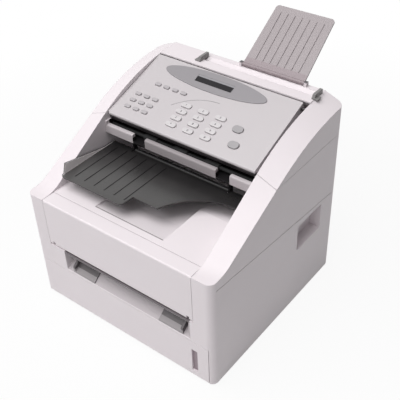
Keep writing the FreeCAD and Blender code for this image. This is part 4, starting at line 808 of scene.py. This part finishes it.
@dataclass
class DocumentPath:
    """What holds the documents: guides, support, the exit bar and the smoked exit tray."""

    hopper_centre: float = 0.038
    hopper_back: float = 0.325
    hopper_width: float = 0.015
    ramp_slot: float = 0.0032
    ramp_drop: float = 0.005
    ramp_thick: float = 0.002
    ramp_seat: float = 0.0003
    ramp_sink: float = 0.0008
    ramp_round: float = 0.0004
    scanner_specular: float = 0.1
    bar_depth: float = 0.0068
    bar_bottom: float = 0.2725
    notch_centres: tuple[float, float] = (-0.077, 0.091)
    notch_half: float = 0.0129
    fence_face: float = 0.0025
    fence_skin: float = 0.0003
    strip_height: float = 0.0125
    fade_front: float = 0.03
    fade_rear: float = 0.022
    bar_colour: Colour = (0.50, 0.46, 0.475)
    # Painted shade: the bar's middle length, set back under the panel, is coloured darker.
    bar_middle: Colour = (0.34, 0.31, 0.32)
    # Painted shade: the near-black of the scanner's shaded inside and of the exit tray's root.
    inner_dark: Colour = (0.012, 0.011, 0.012)
    # Painted light: a pale stripe on the inner face of the exit tray's fence, where light catches the smoked
    # sheet.
    fence_colour: Colour = (0.86, 0.80, 0.81)
    strip_colour: Colour = (0.27, 0.22, 0.235)

    def hopper_ramp(self) -> None:
        """The ramp in the hopper that leads a document down into its slot."""
        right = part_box("scanner_frame")[1].x
        left = 2 * self.hopper_centre - right
        front = CAD_BOX[0][1] + self.hopper_back
        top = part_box("document_guide_left")[0].z - self.ramp_sink
        ramp = Bench.block("hopper_ramp",
                           Vector((left - self.ramp_seat, front + self.ramp_slot, top - self.ramp_thick)),
                           Vector((right + self.ramp_seat, front + self.hopper_width + self.ramp_seat, top)))
        middle = front + self.hopper_width / 2
        Bench.shift(ramp, lambda corner: corner.y < middle, Vector((0.0, 0.0, -self.ramp_drop)))
        Bench.soften(ramp, self.ramp_round)
        Bench.dress(ramp, Finishes.CASING, Body.CHASSIS.value)

    def scanner_zones(self) -> tuple[Zone, ...]:
        """Painted shade inside the scanner, behind, under and between the pale lengths of its bar, and on the
        bar's middle length under the panel.

        Returns:
            The zones.
        """
        low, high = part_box("scanner_frame")
        left, right = self.notch_centres
        zones = [Zone((low.x, low.y - self.bar_depth, low.z), tuple(high), self.bar_colour),
                 # Painted shade on the bar's middle length.
                 Zone((left, low.y - self.bar_depth, low.z), (right, high.y, high.z), self.bar_middle),
                 # Painted shade behind and under the bar, and in its notches.
                 Zone((low.x, low.y + self.bar_depth, low.z), tuple(high), self.inner_dark),
                 Zone(tuple(low), (high.x, high.y, self.bar_bottom), self.inner_dark)]
        for x in self.notch_centres:
            zones.append(Zone((x - self.notch_half, low.y - self.notch_half, low.z),
                              (x + self.notch_half, high.y, high.z), self.inner_dark))
        return tuple(zones)

    def dress(self) -> None:
        """Finishes the document path's nodes and adds the hopper's ramp."""
        scanner = replace(Finishes.CASING, name="scanner_plastic", specular=self.scanner_specular, dust=0.0,
                          zones=self.scanner_zones())
        coat_nodes(scanner, ["scanner_frame"])
        low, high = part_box("document_exit_tray")
        face = low.x + self.fence_face
        # Painted light on the fence's inner face.
        fence_light = Zone((face - self.fence_skin, low.y, low.z), (face + self.fence_skin, high.y, high.z),
                     self.fence_colour)
        # Painted shade: the smoked tray darkens towards its root, under the scanner.
        fade = Fade(low.y + self.fade_front, high.y - self.fade_rear, self.inner_dark)
        coat_nodes(replace(Finishes.SMOKE, zones=(fence_light,), fade=fade), ["document_exit_tray"])
        low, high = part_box("document_support")
        strip = Zone(tuple(low), (high.x, high.y, low.z + self.strip_height), self.strip_colour)
        coat_nodes(replace(Finishes.SUPPORT, zones=(strip,)), ["document_support"])
        coat_nodes(Finishes.HOPPER_GUIDE, ["document_guide_left", "document_guide_right"])
        self.hopper_ramp()


@dataclass
class Studio:
    """The pale floor, the soft light and the camera at the photograph's angle."""

    azimuth: float = 38.95
    elevation: float = 38.14
    roll: float = -2.26
    distance: float = 1.27037
    target: Vector = field(
        default_factory=lambda: Vector((-0.00687, CAD_BOX[0][1] + 0.22134, 0.140)))
    lens: float = 65.8
    floor_size: float = 60.0
    floor_colour: Colour = (0.74, 0.74, 0.74)
    floor_roughness: float = 0.9
    floor_specular: float = 0.1
    floor_glow: float = 0.92
    shadow_reach: float = 0.5
    room_light: float = 0.165
    key_place: Vector = field(default_factory=lambda: Vector((-0.45, -0.78, 2.45)))
    key_size: float = 2.5
    key_power: float = 69.5
    fill_place: Vector = field(default_factory=lambda: Vector((0.35, -1.9, 1.45)))
    fill_size: float = 1.2
    fill_power: float = 8.2

    def camera(self) -> None:
        """Places the camera."""
        side = math.radians(self.azimuth)
        rise = math.radians(self.elevation)
        turn = math.radians(self.roll)
        back = Vector((math.sin(side) * math.cos(rise), -math.cos(side) * math.cos(rise), math.sin(rise)))
        right = Vector((math.cos(side), math.sin(side), 0.0))
        upright = back.cross(right)
        rolled_right = right * math.cos(turn) + upright * math.sin(turn)
        rolled_up = upright * math.cos(turn) - right * math.sin(turn)
        data = bpy.data.cameras.new("photo_camera")
        data.lens = self.lens
        camera = bpy.data.objects.new("photo_camera", data)
        bpy.context.scene.collection.objects.link(camera)
        axes = Matrix((rolled_right, rolled_up, back)).transposed()
        camera.matrix_world = Matrix.Translation(self.target + back * self.distance) @ axes.to_4x4()
        bpy.context.scene.camera = camera

    def lamp(self, name: str, place: Vector, size: float, power: float) -> None:
        """A square soft lamp that looks at the machine.

        Args:
            name: The lamp's name.
            place: Where it hangs, in metres.
            size: Its edge in metres.
            power: Its power in watts.
        """
        Bench.clear()
        aim = (self.target - place).to_track_quat("-Z", "Y")
        bpy.ops.object.light_add(type="AREA", location=place, rotation=aim.to_euler())
        lamp = bpy.context.object
        lamp.name = name
        lamp.data.size = size
        lamp.data.energy = power

    @staticmethod
    def background_rays(tree: bpy.types.NodeTree) -> bpy.types.NodeSocket:
        """The rays that see the white background: from the camera, by a mirror or through glass.

        Args:
            tree: The node tree of the world or the floor.

        Returns:
            A value of 1 for such a ray and 0 for any other.
        """
        path = tree.nodes.new("ShaderNodeLightPath")
        seen = path.outputs["Is Camera Ray"]
        for kind in ("Is Glossy Ray", "Is Transmission Ray"):
            either = tree.nodes.new("ShaderNodeMath")
            either.operation = "MAXIMUM"
            tree.links.new(seen, either.inputs[0])
            tree.links.new(path.outputs[kind], either.inputs[1])
            seen = either.outputs["Value"]
        return seen

    def world(self) -> None:
        """An even pale room that shows white to the camera."""
        world = bpy.data.worlds.new("pale_room")
        world.use_nodes = True
        bpy.context.scene.world = world
        nodes = world.node_tree.nodes
        links = world.node_tree.links
        seen = self.background_rays(world.node_tree)
        strength = nodes.new("ShaderNodeMapRange")
        strength.inputs["To Min"].default_value = self.room_light
        strength.inputs["To Max"].default_value = 1.0
        links.new(seen, strength.inputs["Value"])
        shader = nodes["Background"]
        shader.inputs["Color"].default_value = (1.0, 1.0, 1.0, 1.0)
        links.new(strength.outputs["Result"], shader.inputs["Strength"])

    def floor(self) -> None:
        """A pale floor that keeps the machine's shadow and turns white further out."""
        Bench.clear()
        bpy.ops.mesh.primitive_plane_add(size=self.floor_size, location=(0.0, 0.0, 0.0))
        floor = bpy.context.object
        floor.name = "pale_floor"
        material = bpy.data.materials.new("pale_floor")
        material.use_nodes = True
        nodes = material.node_tree.nodes
        links = material.node_tree.links
        shader = nodes["Principled BSDF"]
        shader.inputs["Base Color"].default_value = (*self.floor_colour, 1.0)
        shader.inputs["Roughness"].default_value = self.floor_roughness
        shader.inputs["Specular IOR Level"].default_value = self.floor_specular
        glow = nodes.new("ShaderNodeEmission")
        glow.inputs["Strength"].default_value = 1.0
        place = nodes.new("ShaderNodeTexCoord")
        reach = nodes.new("ShaderNodeVectorMath")
        reach.operation = "LENGTH"
        links.new(place.outputs["Object"], reach.inputs[0])
        share = nodes.new("ShaderNodeMapRange")
        share.inputs["From Min"].default_value = self.shadow_reach
        share.inputs["From Max"].default_value = 2 * self.shadow_reach
        share.inputs["To Min"].default_value = self.floor_glow
        share.inputs["To Max"].default_value = 1.0
        links.new(reach.outputs["Value"], share.inputs["Value"])
        seen = nodes.new("ShaderNodeMath")
        seen.operation = "MULTIPLY"
        links.new(self.background_rays(material.node_tree), seen.inputs[0])
        links.new(share.outputs["Result"], seen.inputs[1])
        mix = nodes.new("ShaderNodeMixShader")
        links.new(seen.outputs["Value"], mix.inputs["Fac"])
        links.new(shader.outputs["BSDF"], mix.inputs[1])
        links.new(glow.outputs["Emission"], mix.inputs[2])
        links.new(mix.outputs["Shader"], nodes["Material Output"].inputs["Surface"])
        floor.data.materials.append(material)

    def build(self) -> None:
        """Sets up the room, the lamps and the camera."""
        bpy.context.scene.view_settings.view_transform = "Standard"
        self.world()
        self.floor()
        self.lamp("key_lamp", self.key_place, self.key_size, self.key_power)
        self.lamp("fill_lamp", self.fill_place, self.fill_size, self.fill_power)
        self.camera()


def main() -> None:
    """Dresses the machine, then sets up the studio."""
    logging.basicConfig(level=logging.INFO)
    Casing().dress()
    PrintEngine().dress()
    ControlPanel().dress()
    DocumentPath().dress()
    Studio().build()


if __name__ == "__main__":
    main()
